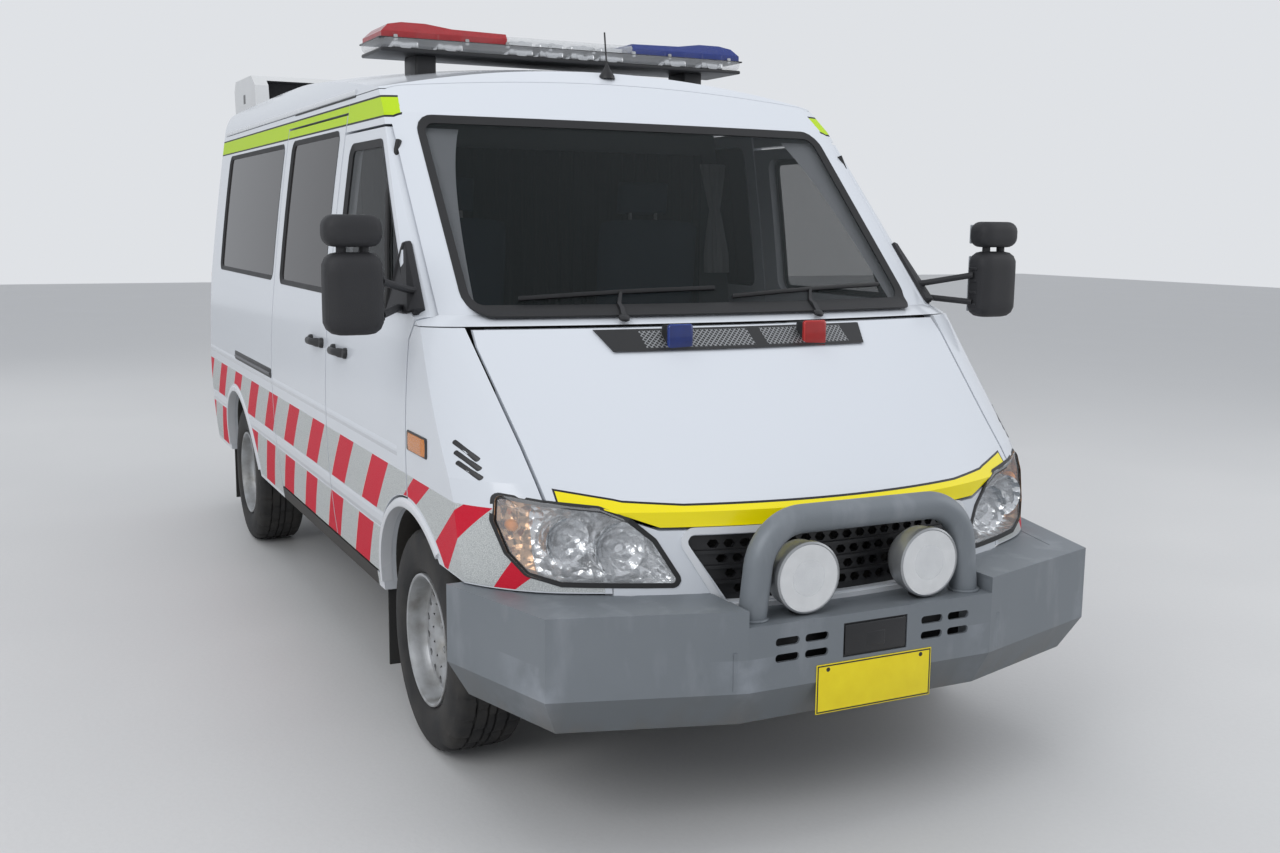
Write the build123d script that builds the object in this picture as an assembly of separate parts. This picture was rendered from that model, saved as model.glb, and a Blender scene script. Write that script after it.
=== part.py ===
from build123d import *
import os
from math import cos, radians, sin

# Panel-van ambulance in millimetres: +X forward, +Y to the vehicle's left, +Z up, standing on z = 0.
# Lengths along the vehicle are given as "a": how far a point lies behind the front axle.
WHEELBASE = 3000
FRONT_OVERHANG = 890
REAR_OVERHANG = 945
BAR_REACH = 140
FRONT_AXLE_X = (FRONT_OVERHANG + WHEELBASE + REAR_OVERHANG + BAR_REACH) / 2 - BAR_REACH - FRONT_OVERHANG

# Wheels
TRACK = 1630
WHEEL_Z = 342
TYRE_R = 342
TYRE_WIDTH = 225
RIM_R = 203
ARCH_R = 415

# Body shell
WALL = 45
GLASS = 8
GLASS_SET = 8
GAP = 9
SILL_Z = 395
DOOR_BOTTOM_Z = 450
DOOR_TOP_Z = 1915
ROOF_JOINT_Z = 2045
RAIL_PANEL_Z = 1985
BELT_Z = 1340

# Roof: a long arc from the header to the tail
ROOF_APEX_A = 2800
ROOF_APEX_Z = 2270
ROOF_RADIUS = 17800
CROWN_EDGE = 1014
CROWN_EDGE_DROP = 126.75

# Shut lines along the side
A_DOOR_FRONT = 5
A_DOOR_REAR = 1030
A_SLIDE_REAR = 2040
A_BODY_REAR = 3900
HEADER_A = 640

# Plan sections of the body form, upwards: height, nose, end of the front arc (a, y), start of the side (a, y)
PLAN_SECTIONS = [
    (250, -870, -690, 745, -300, 985),
    (640, -890, -705, 750, -300, 985),
    (862, -866, -655, 775, -250, 985),
    (925, -775, -590, 785, -230, 980),
    (1306, -250, -170, 830, 0, 965),
    (1338, -185, -75, 825, 60, 962),
    (1960, 480, 520, 800, 610, 880),
    (2100, 640, 690, 770, 790, 862),
    (2150, 725, 790, 760, 900, 862),
    (2420, 1500, 1600, 740, 1700, 862),
]
CORNER_FLARE = 30
TAIL_CORNER = 270
TAIL_NARROW = 150

# Cross-section of the sides, upwards: half width, height
SIDE_BOTTOM = (905, 250)
SIDE_SILL = (930, 395)
SIDE_WIDEST = (966, 750)
SIDE_BELT = (953, 1285)
SIDE_RAIL = (868, 1950)
SIDE_SHOULDER = (850, 2060)
SIDE_TOP = (735, 2202)


def x_at(a):
    return FRONT_AXLE_X - a


def cross_plane(a):
    """The plane across the vehicle at a, with its own x to the left and its own y upwards."""
    return Plane(origin=(x_at(a), 0, 0), x_dir=(0, 1, 0), z_dir=(1, 0, 0))


def side_plane(y=0):
    """The upright plane along the vehicle at y, with its own x forward and its own y upwards."""
    return Plane(origin=(0, y, 0), x_dir=(1, 0, 0), z_dir=(0, -1, 0))


def outline(points):
    """A flat face bounded by straight lines."""
    return make_face(Polyline(points, close=True)).face()


def side_outline(points):
    """A flat face in the side view, from (a, z) points."""
    return outline([(x_at(a), z) for a, z in points])


def plan_wire(row, inset):
    height, nose, front_a, front_y, side_a, side_y = row
    nose_point = (x_at(nose + inset), 0)
    left = (x_at(front_a + inset), front_y - inset * 0.6)
    side = (x_at(side_a + inset), side_y + CORNER_FLARE - inset)
    tail = x_at(A_BODY_REAR - inset)
    tail_start = (x_at(A_BODY_REAR - TAIL_CORNER), side_y - inset)
    tail_mid = (x_at(A_BODY_REAR - TAIL_CORNER * 0.28), side_y - inset - TAIL_NARROW * 0.36)
    tail_end = (tail, side_y - inset - TAIL_NARROW)
    front = ThreePointArc((left[0], -left[1]), nose_point, left)
    corner = TangentArc(left, side, tangent=front % 1)
    edges = [
        front,
        corner,
        Line(side, tail_start),
        ThreePointArc(tail_start, tail_mid, tail_end),
        Line(tail_end, (tail, -tail_end[1])),
        ThreePointArc((tail, -tail_end[1]), (tail_mid[0], -tail_mid[1]), (tail_start[0], -tail_start[1])),
        Line((tail_start[0], -tail_start[1]), (side[0], -side[1])),
        mirror(corner, about=Plane.XZ),
    ]
    return Pos(0, 0, height) * make_face(Curve() + edges).face()


def plan_form(inset):
    sections = [plan_wire(row, inset) for row in PLAN_SECTIONS]
    return Solid.make_loft([face.outer_wire() for face in sections], ruled=True)


def side_form(inset):
    def at(point):
        return (point[0] - inset, point[1])
    lower = ThreePointArc(at(SIDE_SILL), at(SIDE_WIDEST), at(SIDE_BELT))
    upper = TangentArc(at(SIDE_BELT), at(SIDE_RAIL), tangent=lower % 1)
    rail = Line(at(SIDE_RAIL), at(SIDE_SHOULDER))
    shoulder = TangentArc(at(SIDE_SHOULDER), at(SIDE_TOP), tangent=rail % 1)
    half = [
        Line((0, SIDE_BOTTOM[1]), at(SIDE_BOTTOM)),
        Line(at(SIDE_BOTTOM), at(SIDE_SILL)),
        lower,
        upper,
        rail,
        shoulder,
        Line(at(SIDE_TOP), (SIDE_TOP[0] - inset - 200, SIDE_TOP[1] + 200)),
        Line((SIDE_TOP[0] - inset - 200, SIDE_TOP[1] + 200), (0, SIDE_TOP[1] + 200)),
        Line((0, SIDE_TOP[1] + 200), (0, SIDE_BOTTOM[1])),
    ]
    section = Plane.YZ * make_face(Curve() + half).face()
    left = extrude(section, 6000, both=True)
    return left + mirror(left, about=Plane.XZ)


def roof_form(inset):
    top = ROOF_APEX_Z - inset
    edge = top - CROWN_EDGE_DROP
    edges = [
        ThreePointArc((-CROWN_EDGE, edge), (0, top), (CROWN_EDGE, edge)),
        Line((CROWN_EDGE, edge), (CROWN_EDGE, 0)),
        Line((CROWN_EDGE, 0), (-CROWN_EDGE, 0)),
        Line((-CROWN_EDGE, 0), (-CROWN_EDGE, edge)),
    ]
    section = cross_plane(ROOF_APEX_A) * make_face(Curve() + edges).face()
    axis = Axis((x_at(ROOF_APEX_A), 0, ROOF_APEX_Z - ROOF_RADIUS), (0, 1, 0))
    start = section.rotate(axis, -8)
    return revolve(start, axis, 24)


def body_form(inset):
    return plan_form(inset) & side_form(inset) & roof_form(inset)


def side_prism(points, radius=0):
    """Cutter through both sides from an outline in the side view, as (a, z) points."""
    face = side_outline(points)
    if radius:
        face = fillet(face.vertices(), radius).face()
    return extrude(side_plane() * face, 1500, both=True)


def block(a_from, a_to, y_from, y_to, z_from, z_to):
    size = (a_to - a_from, y_to - y_from, z_to - z_from)
    centre = (x_at((a_from + a_to) / 2), (y_from + y_to) / 2, (z_from + z_to) / 2)
    return Pos(*centre) * Box(*size)


def zone(a_from=-1200, a_to=5000, y_from=-1500, y_to=1500, z_from=0, z_to=3000):
    """A slab of space that keeps or cuts a part of a shape; sides not given lie beyond the vehicle."""
    return block(a_from, a_to, y_from, y_to, z_from, z_to)


def half_space(side):
    """The space on one side of the vehicle's middle plane: 1 is left, -1 is right."""
    return zone(y_from=0) if side > 0 else zone(y_to=0)


def bevelled_block(a_from, a_to, y_from, y_to, z_from, z_to, bevel):
    solid = block(a_from, a_to, y_from, y_to, z_from, z_to)
    return chamfer(solid.edges(), bevel)


def both_sides(shape):
    return [shape, mirror(shape, about=Plane.XZ)]


def across(a, z, radius, y_from, y_to):
    middle = (y_from + y_to) / 2
    return Pos(x_at(a), middle, z) * Rot(90, 0, 0) * Cylinder(radius, y_to - y_from)


def along(a_from, a_to, y, z, radius):
    return Pos(x_at((a_from + a_to) / 2), y, z) * Rot(0, 90, 0) * Cylinder(radius, a_to - a_from)


def tidy(shape):
    """The solids of a shape, without slivers smaller than a thumb."""
    return [solid for solid in shape.solids() if solid.volume > 2000]


nodes = {}


def piece(name, *shapes):
    solids = []
    for shape in shapes:
        solids += tidy(shape) if not isinstance(shape, list) else [s for item in shape for s in tidy(item)]
    nodes[name] = Compound(children=solids) if len(solids) > 1 else solids[0]


outer = body_form(0)
inner = body_form(WALL)
shell = outer - inner
ARCH_Y = (500, 1200)
for a in (0, WHEELBASE):
    for arch in both_sides(across(a, WHEEL_Z, ARCH_R, *ARCH_Y)):
        shell = shell - arch
shell = shell - zone(z_to=SILL_Z)

# Side outlines, as (a, z)
FRONT_DOOR = [
    (A_DOOR_FRONT, DOOR_BOTTOM_Z),
    (A_DOOR_FRONT, 1265),
    (-52, BELT_Z - 8),
    (500, DOOR_TOP_Z),
    (A_DOOR_REAR, DOOR_TOP_Z),
    (A_DOOR_REAR, DOOR_BOTTOM_Z),
]
DOOR_WINDOW = [
    (45, BELT_Z),
    (520, DOOR_TOP_Z - 45),
    (A_DOOR_REAR - 105, DOOR_TOP_Z - 45),
    (A_DOOR_REAR - 105, BELT_Z),
]
SLIDING_DOOR = [
    (A_DOOR_REAR, DOOR_BOTTOM_Z),
    (A_DOOR_REAR, RAIL_PANEL_Z),
    (A_SLIDE_REAR, RAIL_PANEL_Z),
    (A_SLIDE_REAR, DOOR_BOTTOM_Z),
]
SLIDING_WINDOW = [(1110, 1345), (1110, 1930), (1930, 1930), (1930, 1345)]
REAR_WINDOW = [(2085, 1352), (2085, 1928), (3470, 1928), (3470, 1352)]
WINDOW_CORNER = 45


def door_cutter(points, by):
    face = Face(side_outline(points).outer_wire().offset_2d(by, kind=Kind.INTERSECTION))
    return extrude(side_plane() * face, 1500, both=True)


ARCH_TO_DOOR = 34
front_door_cut = door_cutter(FRONT_DOOR, GAP / 2)
for arch in both_sides(across(0, WHEEL_Z, ARCH_R + ARCH_TO_DOOR - GAP, *ARCH_Y)):
    front_door_cut = front_door_cut - arch
front_door_form = door_cutter(FRONT_DOOR, -GAP / 2)
for arch in both_sides(across(0, WHEEL_Z, ARCH_R + ARCH_TO_DOOR, *ARCH_Y)):
    front_door_form = front_door_form - arch
sliding_door_cut = door_cutter(SLIDING_DOOR, GAP / 2)
sliding_door_form = door_cutter(SLIDING_DOOR, -GAP / 2)
door_window = side_prism(DOOR_WINDOW, WINDOW_CORNER)
sliding_window = side_prism(SLIDING_WINDOW, WINDOW_CORNER)
rear_window = side_prism(REAR_WINDOW, WINDOW_CORNER)

# Bonnet, grille, lamp and windscreen outlines in the front view, left half as (y, z)
BONNET_FRONT_Z = 818
BONNET_CORNER_Z = 877
BONNET_REAR_Z = 1306
BONNET_EDGE = [
    (520, BONNET_FRONT_Z),
    (600, 847),
    (665, 868),
    (782, BONNET_CORNER_Z),
    (795, 1010),
    (835, BONNET_REAR_Z),
]
GRILLE = [(352, 622), (465, 800)]
HEADLAMP = [
    (463, 668),
    (762, 672),
    (838, 695),
    (878, 748),
    (903, 832),
    (893, 899),
    (790, 884),
    (660, 872),
    (592, 843),
    (533, 791),
]
LAMP_CORNER = 18
LAMP_REAR_A = -330
SCREEN = [(805, 1340), (775, 1950)]
NOSE_BOTTOM_Z = 560
WING_BOTTOM_Z = 652
WING_STEP_A = -150
WING_REAR_A = 480
NOSE_HALF = 640
LAMP_FIT = 3


def front_prism(points, a_from, a_to, radius=0):
    """Cutter along the vehicle from a front-view outline given by its left half, as (y, z) points."""
    face = outline(points + [(-y, z) for y, z in reversed(points)])
    if radius:
        face = fillet(face.vertices(), radius).face()
    return extrude(cross_plane(a_to) * face, a_to - a_from)


def lamp_prism(by):
    face = fillet(outline(HEADLAMP).vertices(), LAMP_CORNER).face()
    if by:
        face = Face(face.outer_wire().offset_2d(by))
    return extrude(cross_plane(LAMP_REAR_A) * face, 900)


def bonnet_prism(by, edge):
    face = outline(edge + [(-y, z) for y, z in reversed(edge)])
    face = Face(face.outer_wire().offset_2d(by, kind=Kind.INTERSECTION))
    return extrude(cross_plane(500) * face, 1500)


BONNET_TRIMMED = BONNET_EDGE[:-1] + [(828, 1255), (824, BONNET_REAR_Z)]
bonnet_cut = bonnet_prism(GAP / 2, BONNET_EDGE)
bonnet_form = bonnet_prism(-GAP / 2, BONNET_TRIMMED)
GRILLE_REAR_A = -500
grille_cut = front_prism(GRILLE, -1000, GRILLE_REAR_A, 18)
screen_cut = front_prism(SCREEN, -400, 900, 60)
lamp_cuts = both_sides(lamp_prism(0))
lamp_forms = both_sides(lamp_prism(-LAMP_FIT))

# Rear doors in the rear view, as (y, z) of the outer edge, and their windows
REAR_DOOR = [(800, 535), (800, 1340), (712, 1998)]
REAR_DOOR_WINDOW = [(110, 1380), (690, 1380), (640, 1890), (110, 1890)]
A_TAIL_CUT = A_BODY_REAR - 150
rear_door_cut = front_prism([(y + GAP / 2, z) for y, z in REAR_DOOR], A_TAIL_CUT, A_BODY_REAR + 50)
rear_door_form = front_prism(
    [(REAR_DOOR[0][0] - GAP / 2, REAR_DOOR[0][1] + GAP), (REAR_DOOR[1][0] - GAP / 2, REAR_DOOR[1][1]),
     (REAR_DOOR[2][0] - GAP / 2, REAR_DOOR[2][1] - GAP)], A_BODY_REAR - WALL - 1, A_BODY_REAR + 50)
rear_door_form = rear_door_form - zone(a_from=A_TAIL_CUT, y_from=-GAP / 2, y_to=GAP / 2)


def rear_prism(points, radius):
    face = fillet(outline(points).vertices(), radius).face()
    return extrude(cross_plane(A_BODY_REAR + 50) * face, 200)


rear_door_windows = both_sides(rear_prism(REAR_DOOR_WINDOW, 50))

# Body panels
SEAM = 3
roof = shell & zone(a_from=HEADER_A, z_from=ROOF_JOINT_Z)

side_zone = zone(a_from=A_SLIDE_REAR + GAP / 2, z_to=ROOF_JOINT_Z - SEAM)
rail_zone = zone(a_from=A_DOOR_REAR - GAP / 2, a_to=A_SLIDE_REAR + GAP / 2 + 1, z_from=RAIL_PANEL_Z + GAP / 2,
                 z_to=ROOF_JOINT_Z - SEAM)
body_sides = ((shell & side_zone) + (shell & rail_zone)) - rear_window - rear_door_cut
STEP_OPENING = 760
step_zone = zone(a_from=A_TAIL_CUT, y_from=-STEP_OPENING, y_to=STEP_OPENING, z_to=REAR_DOOR[0][1] + 1)
body_sides = body_sides - step_zone

cab_zone = zone(a_to=A_DOOR_REAR - GAP / 2 - SEAM, z_from=BONNET_REAR_Z + GAP / 2, z_to=ROOF_JOINT_Z - SEAM)
header_zone = zone(a_to=HEADER_A - SEAM, z_from=ROOF_JOINT_Z - SEAM - 1)
cab_frame = (shell & (cab_zone + header_zone)) - front_door_cut - screen_cut

wing = shell & zone(a_to=WING_REAR_A, y_from=NOSE_HALF + SEAM, z_to=BONNET_REAR_Z + GAP / 2 - SEAM)
wing = wing - bonnet_cut - front_door_cut - lamp_cuts[0]
wing = wing - zone(a_to=WING_STEP_A, z_to=WING_BOTTOM_Z)

nose = shell & zone(a_to=0, y_from=-NOSE_HALF, y_to=NOSE_HALF, z_from=NOSE_BOTTOM_Z, z_to=BONNET_CORNER_Z)
nose = nose - bonnet_cut - grille_cut
for cut in lamp_cuts:
    nose = nose - cut

BONNET_LIP = 15
CORNER_RELIEF_Y = 770
CORNER_RELIEF_A = -330
BONNET_BACK_A = 200
bonnet = shell & bonnet_form & zone(a_to=BONNET_BACK_A)
relief = body_form(BONNET_LIP) & zone(a_from=CORNER_RELIEF_A, a_to=BONNET_BACK_A, y_from=CORNER_RELIEF_Y)
for gone in both_sides(relief):
    bonnet = bonnet - gone
front_doors = (shell & front_door_form) - door_window
sliding_doors = (shell & sliding_door_form) - sliding_window
sill_zone = zone(a_from=WING_REAR_A + SEAM, a_to=A_SLIDE_REAR + GAP / 2 - SEAM, z_to=DOOR_BOTTOM_Z - GAP / 2)
sills = shell & sill_zone

glass_layer = body_form(GLASS_SET) - body_form(GLASS_SET + GLASS)
screen_glass = glass_layer & screen_cut
side_glass = (glass_layer & sliding_window) + (glass_layer & rear_window)
door_glass = glass_layer & door_window

lamp_body = (shell & zone(a_to=0)) - bonnet_cut
headlamps = [lamp_body & form for form in lamp_forms]

piece("roof_panel", roof)
piece("body_sides", body_sides)
piece("cab_frame", cab_frame)
piece("front_wings", wing, mirror(wing, about=Plane.XZ))
piece("nose_panel", nose)
piece("bonnet", bonnet)
piece("sliding_doors", sliding_doors)
piece("windscreen", screen_glass)
piece("side_glass", side_glass)
piece("headlamps", *headlamps)
for side, name in ((1, "left"), (-1, "right")):
    piece(f"front_door_{name}", front_doors & half_space(side))
    piece(f"front_door_glass_{name}", door_glass & half_space(side))

rear_doors = shell & rear_door_form
rear_door_glass = []
for window in rear_door_windows:
    rear_doors = rear_doors - window
    rear_door_glass.append(glass_layer & window)
for side, name in ((1, "left"), (-1, "right")):
    piece(f"rear_door_{name}", rear_doors & half_space(side))
piece("rear_door_glass_left", rear_door_glass[0])
piece("rear_door_glass_right", rear_door_glass[1])

# Floor with wheel boxes, sills and arch liners
FLOOR_Z = 600
FLOOR_T = 40
LINER = 12
CAB_FLOOR_A = 480
FIREWALL_A = -60
LINER_Y = 495
REAR_BOX_Y = 610
cavity = body_form(WALL)
floor_zone = zone(a_from=CAB_FLOOR_A, a_to=A_BODY_REAR - WALL - GAP, z_from=FLOOR_Z, z_to=FLOOR_Z + FLOOR_T)
floor = cavity & floor_zone
floor = floor + block(FIREWALL_A, CAB_FLOOR_A + 1, -LINER_Y, LINER_Y, FLOOR_Z, FLOOR_Z + FLOOR_T)
SKIRT_T = 25
skirt = cavity - body_form(WALL + SKIRT_T)
skirt = skirt & zone(a_from=CAB_FLOOR_A + SEAM, a_to=WHEELBASE - ARCH_R, z_from=SILL_Z, z_to=FLOOR_Z + 1)
floor = floor + skirt + sills
DECK_A = (1600, 3650)
DECK_HALF = 290
DECK_T = 15
floor = floor + block(*DECK_A, -DECK_HALF, DECK_HALF, FLOOR_Z + FLOOR_T - 1, FLOOR_Z + FLOOR_T + DECK_T)
wheel_boxes = []
for a, inner_y in ((0, LINER_Y), (WHEELBASE, REAR_BOX_Y)):
    box = across(a, WHEEL_Z, ARCH_R + LINER, inner_y, ARCH_Y[1])
    room = across(a, WHEEL_Z, ARCH_R, inner_y + LINER, ARCH_Y[1])
    wheel_boxes += both_sides((cavity & box) - room - zone(z_to=SILL_Z))
    for gone in both_sides(box):
        floor = floor - gone
ARM_SLOT = 85
for side in (1, -1):
    slot = block(-ARM_SLOT, ARM_SLOT, side * LINER_Y - 35, side * LINER_Y + 35, 0, FLOOR_Z - 30)
    wheel_boxes = [box - slot for box in wheel_boxes]
FIREWALL_T = 20
firewall = cavity & zone(a_from=FIREWALL_A - FIREWALL_T, a_to=FIREWALL_A, z_from=FLOOR_Z, z_to=BONNET_REAR_Z)
for gone in both_sides(across(0, WHEEL_Z, ARCH_R + LINER, LINER_Y, ARCH_Y[1])):
    firewall = firewall - gone
piece("floor_pan", floor)
piece("wheel_boxes", *wheel_boxes)
piece("firewall", firewall)

# Chassis frame
RAIL_Y = 380
RAIL_W = 75
RAIL_Z = 430
RAIL_H = 120
CROSS_AT = (-700, 330, 1300, 2250, 3620)
FRAME_A = (-760, 3780)
frame = block(*FRAME_A, RAIL_Y, RAIL_Y + RAIL_W, RAIL_Z, RAIL_Z + RAIL_H)
frame = frame + mirror(frame, about=Plane.XZ)
for a in CROSS_AT:
    frame = frame + block(a - 40, a + 40, -RAIL_Y - 10, RAIL_Y + 10, RAIL_Z + 20, RAIL_Z + RAIL_H - 20)
RAIL_MID = RAIL_Y + RAIL_W / 2
for a in CROSS_AT[1:]:
    for body_mount in both_sides(block(a - 50, a + 50, RAIL_MID - 30, RAIL_MID + 30, RAIL_Z + RAIL_H - 1, FLOOR_Z)):
        frame = frame + body_mount
SUBFRAME_Z = 265
frame = frame + block(-70, 70, -RAIL_Y - RAIL_W, RAIL_Y + RAIL_W, SUBFRAME_Z, SUBFRAME_Z + 70)
for upright in both_sides(block(-70, 70, RAIL_Y + 1, RAIL_Y + RAIL_W, SUBFRAME_Z, RAIL_Z + 1)):
    frame = frame + upright

# Front suspension arms and knuckles
KINGPIN_Y = 705
ARM_T = 34
KNUCKLE_LOW = 275
KNUCKLE_HIGH = 455
arm_low = block(-45, 45, RAIL_Y + RAIL_W - 1, KINGPIN_Y, KNUCKLE_LOW - 5 - ARM_T, KNUCKLE_LOW - 5)
arm_low = arm_low + Pos(x_at(0), KINGPIN_Y, KNUCKLE_LOW - 5 - ARM_T / 2) * Cylinder(45, ARM_T)
arm_high = block(-35, 35, RAIL_Y + RAIL_W - 1, KINGPIN_Y, KNUCKLE_HIGH + 5, KNUCKLE_HIGH + 5 + ARM_T)
arm_high = arm_high + Pos(x_at(0), KINGPIN_Y, KNUCKLE_HIGH + 5 + ARM_T / 2) * Cylinder(35, ARM_T)
for arm in (arm_low, arm_high):
    frame = frame + arm + mirror(arm, about=Plane.XZ)
piece("chassis_frame", frame)

HUB_FACE_Y = TRACK / 2 - 20
knuckle = Pos(x_at(0), KINGPIN_Y, (KNUCKLE_LOW + KNUCKLE_HIGH) / 2) * Cylinder(32, KNUCKLE_HIGH - KNUCKLE_LOW)
knuckle = knuckle + across(0, WHEEL_Z, 62, KINGPIN_Y - 20, HUB_FACE_Y - 22)
knuckle = knuckle + across(0, WHEEL_Z, 28, KINGPIN_Y, HUB_FACE_Y - 1)
piece("knuckle_left", knuckle)
piece("knuckle_right", mirror(knuckle, about=Plane.XZ))

# Wheels, in flat facets about the axle: sections as (radius, offset outwards from the wheel's middle plane)
FACETS = 44
TYRE_SECTION = [(204, 90), (222, 106), (268, 112.5), (318, 106), (TYRE_R, 84)]
BEAD_R = 196
FLANGE_T = 8
BARREL_T = 10
DISH_FACE = 40
DISH_T = 9
DISH_OUTER = [(188, -4), (174, 32), (158, DISH_FACE)]
HUB_RADII = [(58, 14), (34, 20)]
VENTS = 14
VENT_R = 137
VENT_LONG = 40
VENT_WIDE = 24


def flat_faced(rings):
    """A solid with flat faces between rings of points, closed by its first and last ring."""
    faces = [Face(Wire.make_polygon(rings[0])), Face(Wire.make_polygon(rings[-1]))]
    count = len(rings[0])
    for low, high in zip(rings, rings[1:]):
        for at in range(count):
            after = (at + 1) % count
            faces.append(Face(Wire.make_polygon([low[at], low[after], high[after], high[at]])))
    return Solid(Shell(faces))


def turned(rows):
    """A solid of revolution about Z in flat facets, from (radius, height) rows, upwards."""
    spokes = [(cos(radians(at * 360 / FACETS)), sin(radians(at * 360 / FACETS))) for at in range(FACETS)]
    return flat_faced([[(radius * x, radius * y, height) for x, y in spokes] for radius, height in rows])


def tyre_solid():
    rising = [(r, -o) for r, o in TYRE_SECTION]
    body = turned(rising + [(r, o) for r, o in reversed(TYRE_SECTION)])
    edge = TYRE_SECTION[0][1]
    return body - turned([(BEAD_R, -edge - 1), (BEAD_R, edge + 1)])


def rim_solid():
    edge = TYRE_SECTION[0][1]
    barrel = turned([(BEAD_R, -edge), (BEAD_R, edge)])
    for side in (-1, 1):
        flange = sorted((side * edge, side * (edge + FLANGE_T)))
        barrel = barrel + turned([(RIM_R, flange[0]), (RIM_R, flange[1])])
    barrel = barrel - turned([(BEAD_R - BARREL_T, -edge - 20), (BEAD_R - BARREL_T, edge + 20)])
    dish = turned(DISH_OUTER) - turned([(r - DISH_T, z - DISH_T) for r, z in DISH_OUTER])
    for radius, rise in HUB_RADII:
        dish = dish + turned([(radius, DISH_FACE - DISH_T), (radius - rise / 3, DISH_FACE + rise)])
    vent = chamfer(Box(VENT_WIDE, VENT_LONG, 60).edges().filter_by(Axis.Z), VENT_WIDE / 3)
    for turn in range(VENTS):
        dish = dish - Rot(0, 0, turn * 360 / VENTS) * Pos(VENT_R, 0, DISH_FACE) * vent
    return barrel + dish


tyre = tyre_solid()
rim = rim_solid()
WHEELS = [
    # name, distance behind the front axle, side
    ("front_left", 0, 1),
    ("front_right", 0, -1),
    ("rear_left", WHEELBASE, 1),
    ("rear_right", WHEELBASE, -1),
]
for name, a, side in WHEELS:
    place = Pos(x_at(a), side * TRACK / 2, WHEEL_Z) * Rot(-90 * side, 0, 0)
    piece(f"tyre_{name}", place * tyre)
    piece(f"rim_{name}", place * rim)

# Rear axle with its leaf springs
AXLE_R = 42
SPRING_Y = 530
SPRING_HALF = 620
SPRING_SAG = 95
LEAF_T = 26
DIFF_R = 135
DIFF_SECTION = [(60, -118), (112, -78), (DIFF_R, 0), (112, 78), (60, 118)]
axle = across(WHEELBASE, WHEEL_Z, AXLE_R, -HUB_FACE_Y + 22, HUB_FACE_Y - 22)
axle = axle + Pos(x_at(WHEELBASE), 0, WHEEL_Z) * Rot(90, 0, 0) * turned(DIFF_SECTION)
leaf_mid = WHEEL_Z - AXLE_R - LEAF_T / 2
eye_z = leaf_mid + SPRING_SAG
mid_x = x_at(WHEELBASE)
arc = ThreePointArc((mid_x - SPRING_HALF, eye_z), (mid_x, leaf_mid), (mid_x + SPRING_HALF, eye_z))
leaf = extrude(Plane.XZ * make_face(offset(arc, LEAF_T / 2, side=Side.BOTH).edges()).face(), 35, both=True)
spring = Pos(0, SPRING_Y, 0) * leaf
spring = spring + block(WHEELBASE - 60, WHEELBASE + 60, SPRING_Y - 40, SPRING_Y + 40, leaf_mid - 30, leaf_mid + 40)
for end in (-1, 1):
    eye_a = WHEELBASE + end * (SPRING_HALF - 10)
    spring = spring + across(eye_a, eye_z, 24, SPRING_Y - 35, SPRING_Y + 35)
    spring = spring + block(eye_a - 22, eye_a + 22, SPRING_Y - 30, SPRING_Y + 30, eye_z, FLOOR_Z)
for half in both_sides(spring):
    axle = axle + half
piece("rear_axle", axle)

ENGINE_REAR_A = -90
piece("engine_block", block(-600, ENGINE_REAR_A, -270, 270, 420, 930))
PROPSHAFT_R = 36
PROPSHAFT_Z = 400
piece("propshaft", along(ENGINE_REAR_A, WHEELBASE - DIFF_R, 0, PROPSHAFT_Z, PROPSHAFT_R))
piece("fuel_tank", bevelled_block(1380, 2150, RAIL_Y + RAIL_W, 790, 330, 560, 40))
EXHAUST_Y = -620
EXHAUST_Z = 445
PIPE_R = 28
PIPE_A = (640, 2450)
SILENCER_R = 78
SILENCER_A = (1500, 2200)
HANGERS_A = (720, 1400, 2350)
exhaust = along(*PIPE_A, EXHAUST_Y, EXHAUST_Z, PIPE_R) + along(*SILENCER_A, EXHAUST_Y, EXHAUST_Z, SILENCER_R)
for a in HANGERS_A:
    exhaust = exhaust + block(a - 6, a + 6, EXHAUST_Y - 12, EXHAUST_Y + 12, EXHAUST_Z, FLOOR_Z)
piece("exhaust", exhaust)

# Cab: dashboard, steering wheel, seats and partition
DASH_REAR_A = 330
DASH_SIDE = [
    (FIREWALL_A, 780),
    (FIREWALL_A, 1290),
    (60, 1285),
    (DASH_REAR_A, 1170),
    (DASH_REAR_A - 20, 980),
    (120, 820),
]
dash = extrude(side_plane() * side_outline(DASH_SIDE), 840, both=True)
dash = dash & cavity
for gone in both_sides(zone(a_to=CAB_FLOOR_A, y_from=LINER_Y + 4, z_to=790)):
    dash = dash - gone
piece("dashboard", dash)

DRIVER_Y = -430
SEAT_HALF = 245
WHEEL_CENTRE_A = 520
WHEEL_CENTRE_Z = 1190
COLUMN_TILT = 38
STEER_R = 200
STEER_GRIP = 15
hub_frame = Pos(x_at(WHEEL_CENTRE_A), DRIVER_Y, WHEEL_CENTRE_Z) * Rot(0, -COLUMN_TILT, 0)
ring = RegularPolygon(STEER_R, 28) - RegularPolygon(STEER_R - 2 * STEER_GRIP, 28)
steering = extrude(ring, STEER_GRIP, both=True)
steering = chamfer(steering.edges().filter_by(Axis.Z, reverse=True), STEER_GRIP * 0.55)
steering = steering + Pos(0, 0, -12) * extrude(RegularPolygon(48, 12), 20, both=True)
spoke = Pos((STEER_R - STEER_GRIP) / 2, 0, -5) * Box(STEER_R - STEER_GRIP, 26, 14)
for turn in (90, 210, 330):
    steering = steering + Rot(0, 0, turn) * spoke
column = Pos(0, 0, -150) * extrude(RegularPolygon(22, 8), 125, both=True)
piece("steering_wheel", hub_frame * (steering + column))


SEAT_SIDE = [
    (760, 900),
    (760, 1000),
    (1150, 985),
    (1215, 1560),
    (1230, 1610),
    (1215, 1640),
    (1235, 1790),
    (1290, 1790),
    (1300, 1560),
    (1270, 940),
    (1240, 880),
    (800, 860),
]


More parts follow.
